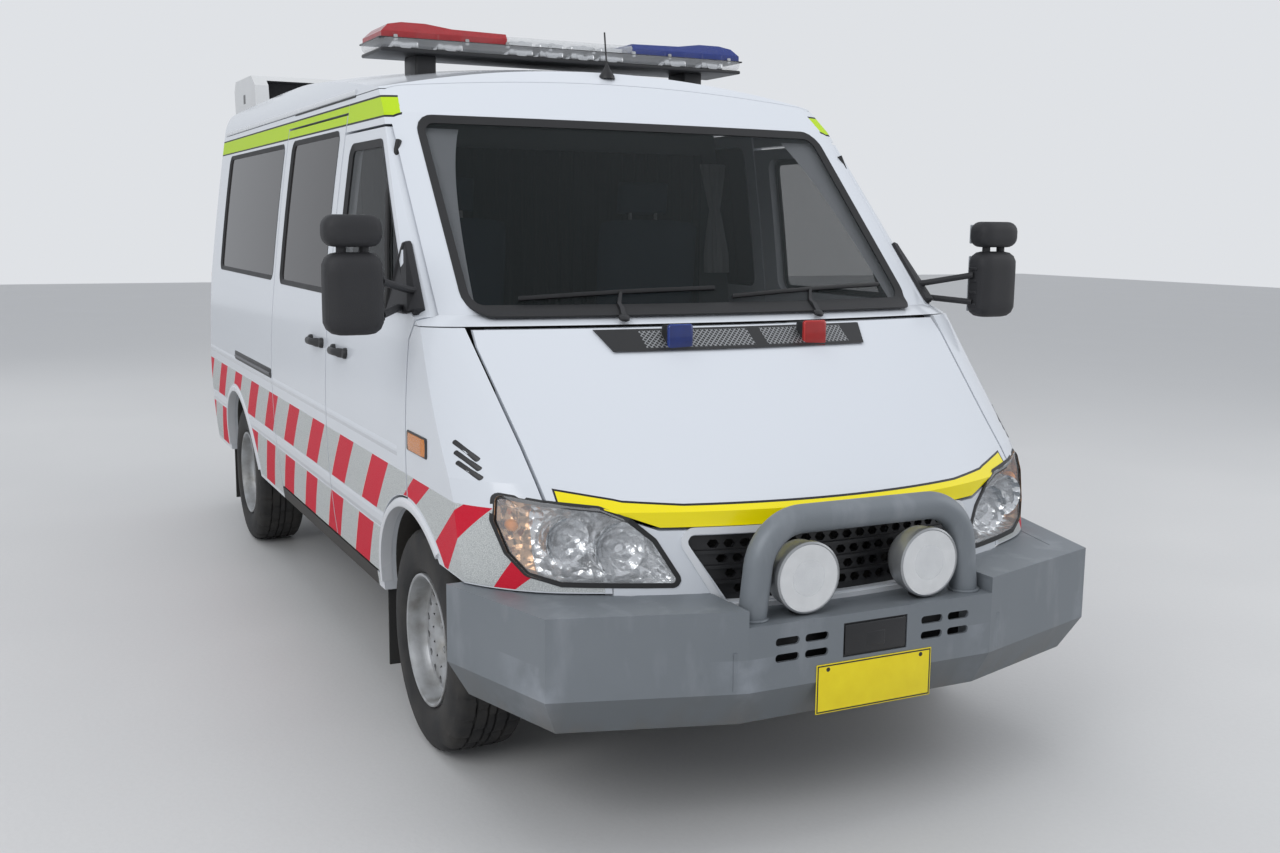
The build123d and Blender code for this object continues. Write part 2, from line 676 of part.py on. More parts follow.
def seat(y):
    body = extrude(side_plane(y) * side_outline(SEAT_SIDE), SEAT_HALF, both=True)
    for side in (1, -1):
        body = body - block(1000, 1500, y + side * 195 - 65, y + side * 195 + 65, 1600, 1900)
    return body + block(820, 1200, y - 200, y + 200, FLOOR_Z + FLOOR_T, 880)


piece("seats", seat(DRIVER_Y), seat(-DRIVER_Y))
PARTITION_A = 1345
PARTITION_T = 20
partition = cavity & zone(a_from=PARTITION_A, a_to=PARTITION_A + PARTITION_T, z_from=FLOOR_Z + FLOOR_T)
hatch = block(PARTITION_A - 5, PARTITION_A + PARTITION_T + 5, -300, 300, 1250, 1850)
partition = partition - fillet(hatch.edges().filter_by(Axis.X), 60)
piece("partition", partition)

# Steel bull bar: a folded channel with slots, and a tube hoop
BAR_NOSE_A = -FRONT_OVERHANG - BAR_REACH
BAR_FLAT = 392
BAR_KNEE = (-880, 885)
BAR_END = (-470, 1003)
BAR_TAIL_A = -100
BAR_LIP_Z = 330
BAR_FOLD_Z = 432
BAR_TOP_Z = 604
BAR_WING_Z = 648
BAR_LIP_SET = 58
BAR_PLATE = 8
BAR_DEPTH = 92
BOX_HALF = 103
BOX_Z = (487, 580)
SLOTS = [(150, 222), (240, 312)]
SLOT_ROWS = [512, 555]
SLOT_H = 22


def bar_corners(inset):
    """Corners of the bar's outline in plan, set back from its face by the inset."""
    half = [
        (x_at(BAR_NOSE_A), BAR_FLAT),
        (x_at(BAR_KNEE[0]), BAR_KNEE[1]),
        (x_at(BAR_END[0]), BAR_END[1]),
        (x_at(BAR_TAIL_A), BAR_END[1]),
    ]
    corners = half + [(x, -y) for x, y in reversed(half)]
    if not inset:
        return corners
    wire = outline(corners).outer_wire().offset_2d(-inset, kind=Kind.INTERSECTION)
    moved = [(v.X, v.Y) for v in wire.vertices()]
    return [min(moved, key=lambda m: (m[0] - x) ** 2 + (m[1] - y) ** 2) for x, y in corners]


def bar_form(inset):
    rings = []
    levels = [(BAR_LIP_Z + inset, BAR_LIP_SET + inset), (BAR_FOLD_Z, inset), (BAR_WING_Z - inset, inset)]
    for height, set_back in levels:
        corners = bar_corners(set_back)
        rings.append([(x, y, height) for x, y in corners])
    return flat_faced(rings)


bar_inside = flat_faced([[(x, y, z) for x, y in bar_corners(BAR_DEPTH)] for z in (200, 800)])
channel = bar_form(0) - bar_form(BAR_PLATE) - bar_inside
channel = channel - zone(a_from=BAR_END[0])
channel = channel - zone(a_to=BAR_KNEE[0], y_from=-BAR_FLAT, y_to=BAR_FLAT, z_from=BAR_TOP_Z)
top_plate = block(BAR_NOSE_A - 50, BAR_NOSE_A + BAR_DEPTH, -BAR_FLAT, BAR_FLAT, BAR_TOP_Z - BAR_PLATE, BAR_TOP_Z)
channel = channel + (bar_form(0) & top_plate)
for near, far in SLOTS:
    for z in SLOT_ROWS:
        slot = block(BAR_NOSE_A - 20, BAR_NOSE_A + 30, near, far, z - SLOT_H / 2, z + SLOT_H / 2)
        slot = fillet(slot.edges().filter_by(Axis.X), SLOT_H / 2 - 1)
        channel = channel - slot - mirror(slot, about=Plane.XZ)
channel = channel - block(BAR_NOSE_A - 20, BAR_NOSE_A + 45, -BOX_HALF, BOX_HALF, *BOX_Z)
HOOP_R = 38
HOOP_A = BAR_NOSE_A + 66
HOOP_FOOT_Y = 345
HOOP_TOP_Y = 318
HOOP_TOP_Z = 856
HOOP_BEND = 130
HOOP_FRONT = [
    (HOOP_FOOT_Y, BAR_TOP_Z - 4),
    (HOOP_TOP_Y, HOOP_TOP_Z),
    (-HOOP_TOP_Y, HOOP_TOP_Z),
    (-HOOP_FOOT_Y, BAR_TOP_Z - 4),
]
hoop_path = FilletPolyline([(x_at(HOOP_A), y, z) for y, z in HOOP_FRONT], radius=HOOP_BEND)
hoop = sweep((Plane(origin=hoop_path @ 0, z_dir=hoop_path % 0) * Circle(HOOP_R)), path=hoop_path)
mount = block(BAR_NOSE_A + BAR_PLATE, FRAME_A[0], RAIL_Y + 26, RAIL_Y + 50, 440, 540)
piece("bull_bar", (channel + hoop).fuse(*both_sides(mount)))
piece("bar_box", block(BAR_NOSE_A + 4, BAR_NOSE_A + 45, -BOX_HALF, BOX_HALF, *BOX_Z))
PLATE_W = 372
PLATE_H = 134
PLATE_Z = 343
piece("number_plate", block(BAR_NOSE_A - 3, BAR_NOSE_A, -PLATE_W / 2, PLATE_W / 2, PLATE_Z, PLATE_Z + PLATE_H))

SPOT_Y = 195
SPOT_R = 97
SPOT_Z = BAR_TOP_Z + SPOT_R + 4
spot = along(BAR_NOSE_A + 30, BAR_NOSE_A + 95, SPOT_Y, SPOT_Z, SPOT_R)
spot = spot + along(BAR_NOSE_A + 90, BAR_NOSE_A + 150, SPOT_Y, SPOT_Z, 60)
spot = spot + block(BAR_NOSE_A + 45, BAR_NOSE_A + 80, SPOT_Y - 30, SPOT_Y + 30, BAR_TOP_Z, SPOT_Z - 80)
piece("spot_lamps", spot, mirror(spot, about=Plane.XZ))

# Grille: a curved honeycomb panel with slats across it
GRILLE_BACK = 34
GRILLE_T = 12
SLAT_PROUD = 10
SLAT_H = 9
CELL_ROWS = 4
CELL_PITCH = 44
CELL_LONG = 34
CELL_HIGH = 22
ROW_PITCH = 40
GRILLE_Z = (GRILLE[0][1] + GRILLE[1][1]) / 2


def hexagon(y, z):
    """A cell of the honeycomb, pointed at its two ends, as a cutter along the vehicle."""
    upper = [(y - CELL_LONG / 2, z), (y - CELL_LONG / 4, z + CELL_HIGH / 2), (y + CELL_LONG / 4, z + CELL_HIGH / 2)]
    lower = [(2 * y - corner_y, 2 * z - corner_z) for corner_y, corner_z in upper]
    return extrude(cross_plane(GRILLE_REAR_A) * outline(upper + lower), 400)


grille = (body_form(GRILLE_BACK - GRILLE_T) - body_form(GRILLE_BACK)) & grille_cut
cells = []
for row in range(CELL_ROWS):
    z = GRILLE_Z + (row - (CELL_ROWS - 1) / 2) * ROW_PITCH
    slope = (z - GRILLE[0][1]) / (GRILLE[1][1] - GRILLE[0][1])
    reach = GRILLE[0][0] + slope * (GRILLE[1][0] - GRILLE[0][0]) - CELL_LONG
    count = int(reach / CELL_PITCH)
    for column in range(-count, count + 1):
        y = column * CELL_PITCH + (row % 2) * CELL_PITCH / 2
        if abs(y) < reach:
            cells.append(hexagon(y, z))
grille = grille.cut(*cells)
slats = body_form(GRILLE_BACK - GRILLE_T - SLAT_PROUD) - body_form(GRILLE_BACK - GRILLE_T / 2)
for row in range(CELL_ROWS - 1):
    z = GRILLE_Z + (row - (CELL_ROWS - 2) / 2) * ROW_PITCH
    grille = grille + (slats & grille_cut & zone(a_to=0, z_from=z - SLAT_H / 2, z_to=z + SLAT_H / 2))
piece("grille", grille)

# Fittings that stand proud of the skin
PROUD = 10
proud = body_form(-PROUD) - outer
indicator = proud & zone(a_from=-209, a_to=-15, y_from=NOSE_HALF, z_from=940, z_to=1000)
piece("side_lamps", indicator, mirror(indicator, about=Plane.XZ))
tail_lamp = proud & zone(a_from=A_BODY_REAR - 120, a_to=A_BODY_REAR, y_from=838, z_from=900, z_to=1320)
piece("tail_lamps", tail_lamp, mirror(tail_lamp, about=Plane.XZ))
VENT = [(440, 1240), (470, 1298)]
piece("bonnet_vent", proud & front_prism(VENT, -700, 200))
LAMP_BOX = 66
bonnet_lamps = []
for y in (-225, 250):
    lamp = block(-335, -335 + LAMP_BOX, y - LAMP_BOX / 2, y + LAMP_BOX / 2, 1200, 1302) - body_form(-PROUD)
    bonnet_lamps.append(lamp)
piece("bonnet_lamps", *bonnet_lamps)
WIPERS = [
    # blade as (y, z) of its inner and outer end, and the pivot
    ((-640, 1372), (10, 1400), (-360, 1322)),
    ((60, 1372), (700, 1400), (330, 1322)),
]
BLADE_H = 14
wiper_layer = body_form(-BLADE_H) - outer
wipers = []
for inner_end, outer_end, pivot in WIPERS:
    middle = ((inner_end[0] + outer_end[0]) / 2, (inner_end[1] + outer_end[1]) / 2 + 4)
    upper_edge = [(outer_end[0], outer_end[1] + BLADE_H), (inner_end[0], inner_end[1] + BLADE_H)]
    blade = outline([inner_end, outer_end] + upper_edge)
    foot = [(pivot[0] - 14, pivot[1]), (pivot[0] + 14, pivot[1])]
    arm = outline(foot + [(middle[0] + 9, middle[1]), (middle[0] - 9, middle[1])])
    wipers.append(wiper_layer & extrude(cross_plane(300) * (blade + arm).face(), 900))
piece("wipers", *wipers)

# Mirrors on the front doors
MIRROR_Y = (1062, 1228)
MIRROR_A = (-150, -62)
MIRROR_Z = (1292, 1522)
POD_Z = (1536, 1626)
ARM_Z = (1346, 1384)
ARM_PLAN = [
    (x_at(15), 900),
    (x_at(75), 900),
    (x_at(75), 975),
    (x_at(MIRROR_A[1] - 6), MIRROR_Y[0] + 6),
    (x_at(MIRROR_A[0] + 40), MIRROR_Y[0] + 6),
    (x_at(15), 985),
]
for side, name in ((1, "left"), (-1, "right")):
    head = bevelled_block(*MIRROR_A, *MIRROR_Y, *MIRROR_Z, 24) + bevelled_block(*MIRROR_A, *MIRROR_Y, *POD_Z, 24)
    head = head + block(-120, -92, 1090, 1200, MIRROR_Z[1] - 10, POD_Z[0] + 10)
    arm = extrude(outline(ARM_PLAN), ARM_Z[1] - ARM_Z[0])
    arm = Pos(0, 0, ARM_Z[0]) * arm - outer
    mirror_solid = head + arm
    piece(f"mirror_{name}", mirror_solid if side > 0 else mirror(mirror_solid, about=Plane.XZ))

# Roof: light bar, aerial and rear fairing
LIGHT_A = (1000, 1285)
LIGHT_HALF = 755
LIGHT_Z = 2212
TRAY = 20
LENS_LOW = 28
LENS_TOP = 60
light_base = bevelled_block(*LIGHT_A, -LIGHT_HALF, LIGHT_HALF, LIGHT_Z, LIGHT_Z + TRAY + LENS_LOW, 12)
for side in (1, -1):
    light_base = light_base + block(1060, 1220, side * 560 - 40, side * 560 + 40, 2050, LIGHT_Z + 10)
piece("light_bar", light_base - outer)
LENS_SPLIT = 262
LENS_Z = LIGHT_Z + TRAY + LENS_LOW
LENS_INSET = 14
DOME = [
    (LIGHT_HALF - LENS_INSET, LENS_Z),
    (LIGHT_HALF - LENS_INSET, LENS_Z + 22),
    (712, LENS_Z + 50),
    (660, LENS_Z + LENS_TOP),
    (570, LENS_Z + LENS_TOP),
    (470, LENS_Z + 46),
    (LENS_SPLIT, LENS_Z + 42),
    (LENS_SPLIT, LENS_Z),
]
MIDDLE_TOP = 34
LENS_EDGE = 24
lens_a = (LIGHT_A[0] + LENS_INSET, LIGHT_A[1] - LENS_INSET)
LENS_SIDE = [
    (lens_a[0], LENS_Z),
    (lens_a[0], LENS_Z + LENS_EDGE),
    (lens_a[0] + LENS_EDGE, LENS_Z + LENS_TOP),
    (lens_a[1] - LENS_EDGE, LENS_Z + LENS_TOP),
    (lens_a[1], LENS_Z + LENS_EDGE),
    (lens_a[1], LENS_Z),
]
lens_run = extrude(side_plane() * side_outline(LENS_SIDE), LIGHT_HALF, both=True)
dome = lens_run & extrude(cross_plane(lens_a[1]) * outline(DOME), lens_a[1] - lens_a[0])
clear_half = LENS_SPLIT - SEAM
middle = lens_run & block(*lens_a, -clear_half, clear_half, LENS_Z, LENS_Z + MIDDLE_TOP)
piece("light_bar_lenses", middle, *both_sides(dome))
aerial = Pos(x_at(690), 0, 2150) * Cylinder(17, 60) + Pos(x_at(700), 0, 2210) * Rot(0, -8, 0) * Cylinder(4, 170)
piece("aerial", aerial - outer)
POD_HALF = 765
POD_CHEEK = 70
POD_SIDE = [
    (3290, 2100),
    (3330, 2290),
    (3420, 2345),
    (3880, 2350),
    (3925, 2300),
    (3900, 2100),
]
pod = extrude(side_plane() * side_outline(POD_SIDE), POD_HALF, both=True)
POD_RECESS_A = 3520
POD_RECESS_Z = 2318
recess_half = POD_HALF - POD_CHEEK
pod = pod - zone(a_to=POD_RECESS_A, y_from=-recess_half, y_to=recess_half, z_to=POD_RECESS_Z)
piece("roof_pod", pod - outer)

# Rear step and mud flaps
STEP_A = (3790, 3945)
step = bevelled_block(*STEP_A, -755, 755, 400, 525, 10)
bracket = block(FRAME_A[1], STEP_A[0] + 10, RAIL_MID - 30, RAIL_MID + 30, 440, 520)
for half in both_sides(bracket):
    step = step + half
piece("rear_step", step)
flaps = []
for a in (ARCH_R + 10, WHEELBASE + ARCH_R + 10):
    flap = block(a, a + 8, 735, 915, 130, SILL_Z)
    flaps += [flap, mirror(flap, about=Plane.XZ)]
piece("mud_flaps", *flaps)

os.makedirs("parts", exist_ok=True)
for name, shape in nodes.items():
    export_step(shape, f"parts/{name}.step")
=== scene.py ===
from math import cos, pi, radians, sin, tan

import bmesh
import bpy
from mathutils import Matrix, Vector
from mathutils.bvhtree import BVHTree


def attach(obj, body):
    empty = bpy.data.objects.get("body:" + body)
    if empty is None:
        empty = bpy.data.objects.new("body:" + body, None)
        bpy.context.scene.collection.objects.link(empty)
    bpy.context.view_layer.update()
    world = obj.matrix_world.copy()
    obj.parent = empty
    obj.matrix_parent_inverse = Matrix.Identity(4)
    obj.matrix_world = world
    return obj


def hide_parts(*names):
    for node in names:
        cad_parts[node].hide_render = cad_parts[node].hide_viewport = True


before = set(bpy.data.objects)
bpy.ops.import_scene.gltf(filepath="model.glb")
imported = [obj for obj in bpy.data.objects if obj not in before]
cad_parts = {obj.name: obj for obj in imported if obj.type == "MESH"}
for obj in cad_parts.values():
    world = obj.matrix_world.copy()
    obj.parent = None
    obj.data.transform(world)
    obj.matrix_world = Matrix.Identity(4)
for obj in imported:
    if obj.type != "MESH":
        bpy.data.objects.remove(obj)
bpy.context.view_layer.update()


# Camera: it stands ahead of the van and to its right, a little below the roof, as in the photograph.
# All places are in metres, with x forward, y to the van's left and z up.
CAMERA_AT = Vector((5.2398, -2.0687, 1.6113))
CAMERA_AIM = Vector((-0.8855, 0.4389, -0.1525)).normalized()
CAMERA_LENS = 37.166
CAMERA_ROLL = radians(0.554)
camera = bpy.data.objects.new("camera", bpy.data.cameras.new("camera"))
bpy.context.scene.collection.objects.link(camera)
level = CAMERA_AIM.cross(Vector((0, 0, 1))).normalized()
upright = level.cross(CAMERA_AIM)
across = level * cos(CAMERA_ROLL) + upright * sin(CAMERA_ROLL)
raised = upright * cos(CAMERA_ROLL) - level * sin(CAMERA_ROLL)
turned = Matrix((across, raised, -CAMERA_AIM)).transposed()
camera.matrix_world = Matrix.Translation(CAMERA_AT) @ turned.to_4x4()
camera.data.lens = CAMERA_LENS
camera.data.sensor_width = 36
bpy.context.scene.camera = camera
bpy.context.scene.view_settings.view_transform = "Standard"


# Studio light: soft panels above and to both sides, and a pale grey surround.
# A panel is an area lamp: its place, its aim, its size across and its power. Two show as reflections.
PANELS = [
    ("key_panel", (5.5, -6.5, 6.0), (0.2, 0.0, 1.0), 5.0, 230),
    ("top_panel", (0.0, 0.5, 7.5), (0.0, 0.0, 1.0), 7.0, 150),
    ("far_panel", (3.5, 7.0, 4.0), (0.0, 0.0, 1.0), 4.5, 110),
    ("tail_panel", (-8.0, -4.5, 5.0), (0.0, 0.0, 1.0), 5.0, 90),
]
SHINING_PANELS = ("key_panel", "far_panel")
for name, place, aim, size, power in PANELS:
    lamp = bpy.data.lights.new(name, "AREA")
    lamp.size = size
    lamp.energy = power
    holder = bpy.data.objects.new(name, lamp)
    holder.location = place
    holder.rotation_euler = (Vector(aim) - Vector(place)).to_track_quat("-Z", "Y").to_euler()
    holder.visible_glossy = name in SHINING_PANELS
    bpy.context.scene.collection.objects.link(holder)

SKY_LIGHT = (0.80, 0.83, 0.88, 1)
SKY_STRENGTH = 0.80
SKY_SEEN = (0.74, 0.76, 0.79, 1)
world = bpy.data.worlds.new("surround")
world.use_nodes = True
bpy.context.scene.world = world
air = world.node_tree
air.nodes.clear()
lit = air.nodes.new("ShaderNodeBackground")
lit.inputs["Color"].default_value = SKY_LIGHT
lit.inputs["Strength"].default_value = SKY_STRENGTH
seen = air.nodes.new("ShaderNodeBackground")
seen.inputs["Color"].default_value = SKY_SEEN
seen.inputs["Strength"].default_value = 1.0
path = air.nodes.new("ShaderNodeLightPath")
either = air.nodes.new("ShaderNodeMath")
either.operation = "MAXIMUM"
blend = air.nodes.new("ShaderNodeMixShader")
far = air.nodes.new("ShaderNodeOutputWorld")
air.links.new(path.outputs["Is Camera Ray"], either.inputs[0])
air.links.new(path.outputs["Is Transmission Ray"], either.inputs[1])
air.links.new(either.outputs[0], blend.inputs[0])
air.links.new(lit.outputs[0], blend.inputs[1])
air.links.new(seen.outputs[0], blend.inputs[2])
air.links.new(blend.outputs[0], far.inputs[0])


# Floor: one wide slab of pale sealed concrete with a faint mottle.
# Its finish is the first one made, so the two classes that write finishes are here.
class Value:
    """A shader socket that sums, products and comparisons can be written on."""

    def __init__(self, finish, socket):
        self.finish = finish
        self.socket = socket

    def math(self, operation, first, second):
        return self.finish.node("ShaderNodeMath", {"operation": operation}, {0: first, 1: second})

    def __add__(self, other):
        return self.math("ADD", self, other)

    def __sub__(self, other):
        return self.math("SUBTRACT", self, other)

    def __rsub__(self, other):
        return self.math("SUBTRACT", other, self)

    def __mul__(self, other):
        return self.math("MULTIPLY", self, other)

    def __truediv__(self, other):
        return self.math("DIVIDE", self, other)

    def __gt__(self, other):
        return self.math("GREATER_THAN", self, other)

    def __lt__(self, other):
        return self.math("LESS_THAN", self, other)

    def __mod__(self, other):
        return self.math("FLOORED_MODULO", self, other)

    def __or__(self, other):
        return self.math("MAXIMUM", self, other)

    def within(self, low, high):
        return (self > low) * (self < high)

    def size(self):
        return self.finish.node("ShaderNodeMath", {"operation": "ABSOLUTE"}, {0: self})

    __radd__ = __add__
    __rmul__ = __mul__


class Finish:
    """A material under construction, in the coordinates of the van at rest."""

    def __init__(self, name):
        self.material = bpy.data.materials.new(name)
        self.material.use_nodes = True
        self.tree = self.material.node_tree
        self.tree.nodes.clear()
        self.place = self.node("ShaderNodeTexCoord", out="Object")

    def node(self, kind, settings=None, inputs=None, out=0):
        made = self.tree.nodes.new(kind)
        for key, value in (settings or {}).items():
            setattr(made, key, value)
        for key, value in (inputs or {}).items():
            self.feed(made.inputs[key], value)
        return Value(self, made.outputs[out])

    def feed(self, socket, value):
        if isinstance(value, Value):
            self.tree.links.new(value.socket, socket)
        elif socket.type == "RGBA" and len(value) == 3:
            socket.default_value = (*value, 1)
        else:
            socket.default_value = value

    def parts(self, vector):
        outs = self.node("ShaderNodeSeparateXYZ", inputs={0: vector}).socket.node.outputs
        return [Value(self, out) for out in outs]

    def axes(self):
        return self.parts(self.place)

    def noise(self, scale, detail=3.0, stretch=None):
        at = self.place
        if stretch:
            at = self.node("ShaderNodeVectorMath", {"operation": "MULTIPLY"}, {0: at, 1: stretch})
        return self.node("ShaderNodeTexNoise", inputs={"Vector": at, "Scale": scale, "Detail": detail})

    def ribs(self, direction, scale):
        bands = {"wave_type": "BANDS", "bands_direction": direction}
        return self.node("ShaderNodeTexWave", bands, {"Vector": self.place, "Scale": scale})

    def cells(self, scale, feature="F1"):
        return self.node("ShaderNodeTexVoronoi", {"feature": feature}, {"Vector": self.place, "Scale": scale})

    def ramp(self, value, low, high):
        limits = {"From Min": low, "From Max": high, "Value": value}
        return self.node("ShaderNodeMapRange", {"clamp": True}, limits)

    def mix(self, amount, first, second):
        ends = {0: amount, 6: first, 7: second}
        return self.node("ShaderNodeMix", {"data_type": "RGBA"}, ends, out=2)

    def bump(self, height, depth, normal=None):
        inputs = {"Height": height, "Distance": depth, "Strength": 1.0}
        if normal:
            inputs["Normal"] = normal
        return self.node("ShaderNodeBump", inputs=inputs)

    def shade(self, **sockets):
        made = self.tree.nodes.new("ShaderNodeBsdfPrincipled")
        for key, value in sockets.items():
            self.feed(made.inputs[key.replace("_", " ")], value)
        end = self.tree.nodes.new("ShaderNodeOutputMaterial")
        self.tree.links.new(made.outputs[0], end.inputs[0])
        return self.material


def sealed_concrete():
    finish = Finish("sealed_concrete")
    mottle = finish.noise(0.8, 5.0)
    grain = finish.noise(60.0, 4.0)
    colour = finish.mix(mottle, (0.58, 0.58, 0.58), (0.68, 0.68, 0.675))
    colour = finish.mix(grain * 0.2, colour, (0.44, 0.44, 0.44))
    rough = finish.ramp(mottle, -0.6, 1.4)
    return finish.shade(Base_Color=colour, Roughness=rough, Normal=finish.bump(grain, 0.0006))


FLOOR_REACH = 30
floor_mesh = bpy.data.meshes.new("floor")
corners = [(-FLOOR_REACH, -FLOOR_REACH, 0), (FLOOR_REACH, -FLOOR_REACH, 0),
           (FLOOR_REACH, FLOOR_REACH, 0), (-FLOOR_REACH, FLOOR_REACH, 0)]
floor_mesh.from_pydata(corners, [], [(0, 1, 2, 3)])
floor = bpy.data.objects.new("floor", floor_mesh)
bpy.context.scene.collection.objects.link(floor)
floor_mesh.materials.append(sealed_concrete())


# Body panels: pressed steel in cool white gloss paint, with the service's tape laid over it.
# Tape: a lime band under the roof, a chequer of red on silver along the flanks, yellow on the bonnet's edge.
WHITE_PANELS = ["roof_panel", "body_sides", "cab_frame", "front_wings", "nose_panel", "sliding_doors", "bonnet",
                "front_door_left", "front_door_right", "rear_door_left", "rear_door_right"]
# Sizes along the van are given as a distance behind the front axle, called a
FRONT_AXLE_X = 1.4575
WHEELBASE = 3.0
AXLE_Z = 0.342
ARCH_R = 0.415
LIP_WIDE = 0.036
BLACK_TAPE = (0.012, 0.012, 0.014)
LIME_EDGE = 0.007
LIME_A = (0.522, 3.793)
LIME_Z = (1.950, 2.013)
CHEQUER_ROWS = [
    # low and high edge, slant, first block and pitch along the van
    (0.685, 0.862, 1.0, 0.202, 0.430),
    (0.412, 0.622, 0.8, 0.439, 0.410),
]
BLOCK_LONG = 0.190
CREAM_LINE = 0.004
CHEQUER_REAR = 3.820
WING_REAR = 0.120
WING_TAPE_Z = (0.655, 0.862)
WING_BLOCKS = [
    # the rear and the front edge of each red block on the wing, as two points (a, z) each
    (((-0.099, 0.793), (-0.225, 0.862)), ((0.073, 0.775), (-0.059, 0.856))),
    (((-0.392, 0.694), (-0.530, 0.840)), ((-0.312, 0.751), (-0.470, 0.860))),
    (((-0.610, 0.640), (-0.655, 0.700)), ((-0.572, 0.650), (-0.602, 0.720))),
]
BONNET_EDGE_Z = 0.820
YELLOW_TOP_Z = 0.880
YELLOW_HALF = 0.757
SWAGES = [
    # height, outer and inner half width
    (0.918, 0.016, 0.004),
    (0.655, 0.026, 0.012),
]


def taped_paint():
    finish = Finish("taped_paint")
    x, y, z = finish.axes()
    a = FRONT_AXLE_X - x
    half = y.size()
    facing_x, facing_y, _ = finish.parts(finish.node("ShaderNodeTexCoord", out="Normal"))
    flank = (facing_y * y > 0.12) * (half > 0.66)

    # White paint, a little warmer low down where road film settles
    film = finish.noise(2.6, 6.0)
    low_down = finish.ramp(z, 0.95, 0.35)
    colour = finish.mix(low_down * film * 0.35, (0.66, 0.69, 0.735), (0.52, 0.515, 0.495))

    # Lime band with black edges under the roof
    lime_out = flank * a.within(LIME_A[0] - LIME_EDGE, LIME_A[1] + LIME_EDGE)
    lime_out = lime_out * z.within(LIME_Z[0] - LIME_EDGE, LIME_Z[1] + LIME_EDGE)
    lime = finish.mix(finish.noise(300.0, 1.0), (0.42, 0.62, 0.0), (0.50, 0.72, 0.0))
    colour = finish.mix(lime_out, colour, BLACK_TAPE)
    colour = finish.mix(flank * a.within(*LIME_A) * z.within(*LIME_Z), colour, lime)

    # Silver chequer with slanted red blocks in two rows, and a plain strip between the rows
    weave = finish.ramp(finish.cells(210.0, "DISTANCE_TO_EDGE"), 0.02, 0.16)
    silver = finish.mix(weave, (0.40, 0.42, 0.42), (0.60, 0.62, 0.61))
    clear_of_lips = 1.0
    for axle in (0.0, WHEELBASE):
        along, above = a - axle, z - AXLE_Z
        reach = finish.node("ShaderNodeMath", {"operation": "SQRT"}, {0: along * along + above * above})
        clear_of_lips = (reach > ARCH_R + LIP_WIDE) * clear_of_lips
    rows, red, cream = 0.0, 0.0, 0.0
    for low, high, slant, first, pitch in CHEQUER_ROWS:
        row = z.within(low, high) * (a > WING_REAR) * (a < CHEQUER_REAR)
        phase = (a - (high - z) * slant - first) % pitch
        rows = row | rows
        red = row * phase.within(0.0, BLOCK_LONG) | red
        cream = row * phase.within(-0.001, BLOCK_LONG + CREAM_LINE) | cream
    wing = (a < WING_REAR + 0.0001) * z.within(*WING_TAPE_Z)
    for rear, front in WING_BLOCKS:
        inside = wing
        for sign, ((a0, z0), (a1, z1)) in ((1, rear), (-1, front)):
            line = (a - a0) * (z1 - z0) - (z - z0) * (a1 - a0)
            inside = inside * (line * sign > 0)
        red = red | inside
    chequer = flank * clear_of_lips * (rows | wing)
    colour = finish.mix(chequer, colour, silver)
    colour = finish.mix(chequer * cream, colour, (0.72, 0.70, 0.60))
    red_tone = finish.mix(film, (0.60, 0.002, 0.022), (0.68, 0.004, 0.035))
    colour = finish.mix(chequer * red, colour, red_tone)

    # Yellow tape with a black outline: level in the middle of the bonnet, then rising over the lamps
    rise = finish.node("ShaderNodeMath", {"operation": "SMOOTH_MIN"},
                       {0: (half - 0.520) * 0.36, 1: 0.052 + (half - 0.665) * 0.08, 2: 0.02})
    edge = BONNET_EDGE_Z + (rise | 0.0)
    top = YELLOW_TOP_Z + finish.ramp(half, 0.45, 0.62) * 0.010 + finish.ramp(half, 0.60, 0.76) * 0.026
    ahead = (a < -0.45) * (half < YELLOW_HALF) * (facing_x > 0.02)
    stripe_out = ahead * (z - edge > 0.0) * (z - top < 0.0)
    stripe_in = ahead * (z - edge > 0.0025) * (z - top < -0.005) * (half < YELLOW_HALF - 0.005)
    colour = finish.mix(stripe_out, colour, BLACK_TAPE)
    yellow = finish.mix(film, (0.86, 0.72, 0.0), (0.93, 0.80, 0.0))
    colour = finish.mix(stripe_in, colour, yellow)

    # Pressed swages: two long creases along the flank, rounded in section
    crease = 0.0
    for height, outer, inner in SWAGES:
        crease = finish.ramp((z - height).size(), outer, inner) * (a > 0.10) | crease
    pressed = finish.bump(crease * flank, 0.004)

    # Paint has a fine orange peel, and the tape a coarser prismatic weave
    peel = finish.bump(finish.noise(140.0, 2.0), 0.00012, pressed)
    relief = finish.bump(weave * chequer, 0.0004, peel)
    taped = chequer | lime_out
    rough = 0.16 + low_down * 0.16 + taped * 0.34
    return finish.shade(Base_Color=colour, Roughness=rough, Normal=relief, Coat_Weight=0.30 - taped * 0.30,
                        Coat_Roughness=0.06, Specular_IOR_Level=0.35)


panel_finish = taped_paint()


def dress(name, finish):
    """Gives a CAD node its finish."""
    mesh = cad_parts[name].data
    mesh.materials.clear()
    mesh.materials.append(finish)


for name in WHITE_PANELS:
    dress(name, panel_finish)


# Glass and chassis: dark panes behind, clear panes in the cab, and the black frame under the floor.
# The panes are bonded to their panels; the frame, axle and engine are painted or cast.
def plain_finish(name, first, second, rough, scale=8.0, depth=0.0004, grain=300.0, **more):
    """A moulded or cast surface: two tones, mottled, with a fine grain."""
    finish = Finish(name)
    mottle = finish.noise(scale, 5.0)
    fine = finish.noise(grain, 2.0)
    colour = finish.mix(mottle, first, second)
    return finish.shade(Base_Color=colour, Roughness=rough + mottle * 0.12,
                        Normal=finish.bump(fine, depth), **more)


def tinted_pane(name, colour, alpha, shine=0.32):
    finish = Finish(name)
    smear = finish.noise(1.6, 5.0)
    return finish.shade(Base_Color=finish.mix(smear, colour, tuple(c * 1.5 for c in colour)),
                        Roughness=0.02 + smear * 0.04, Alpha=alpha, Specular_IOR_Level=shine)


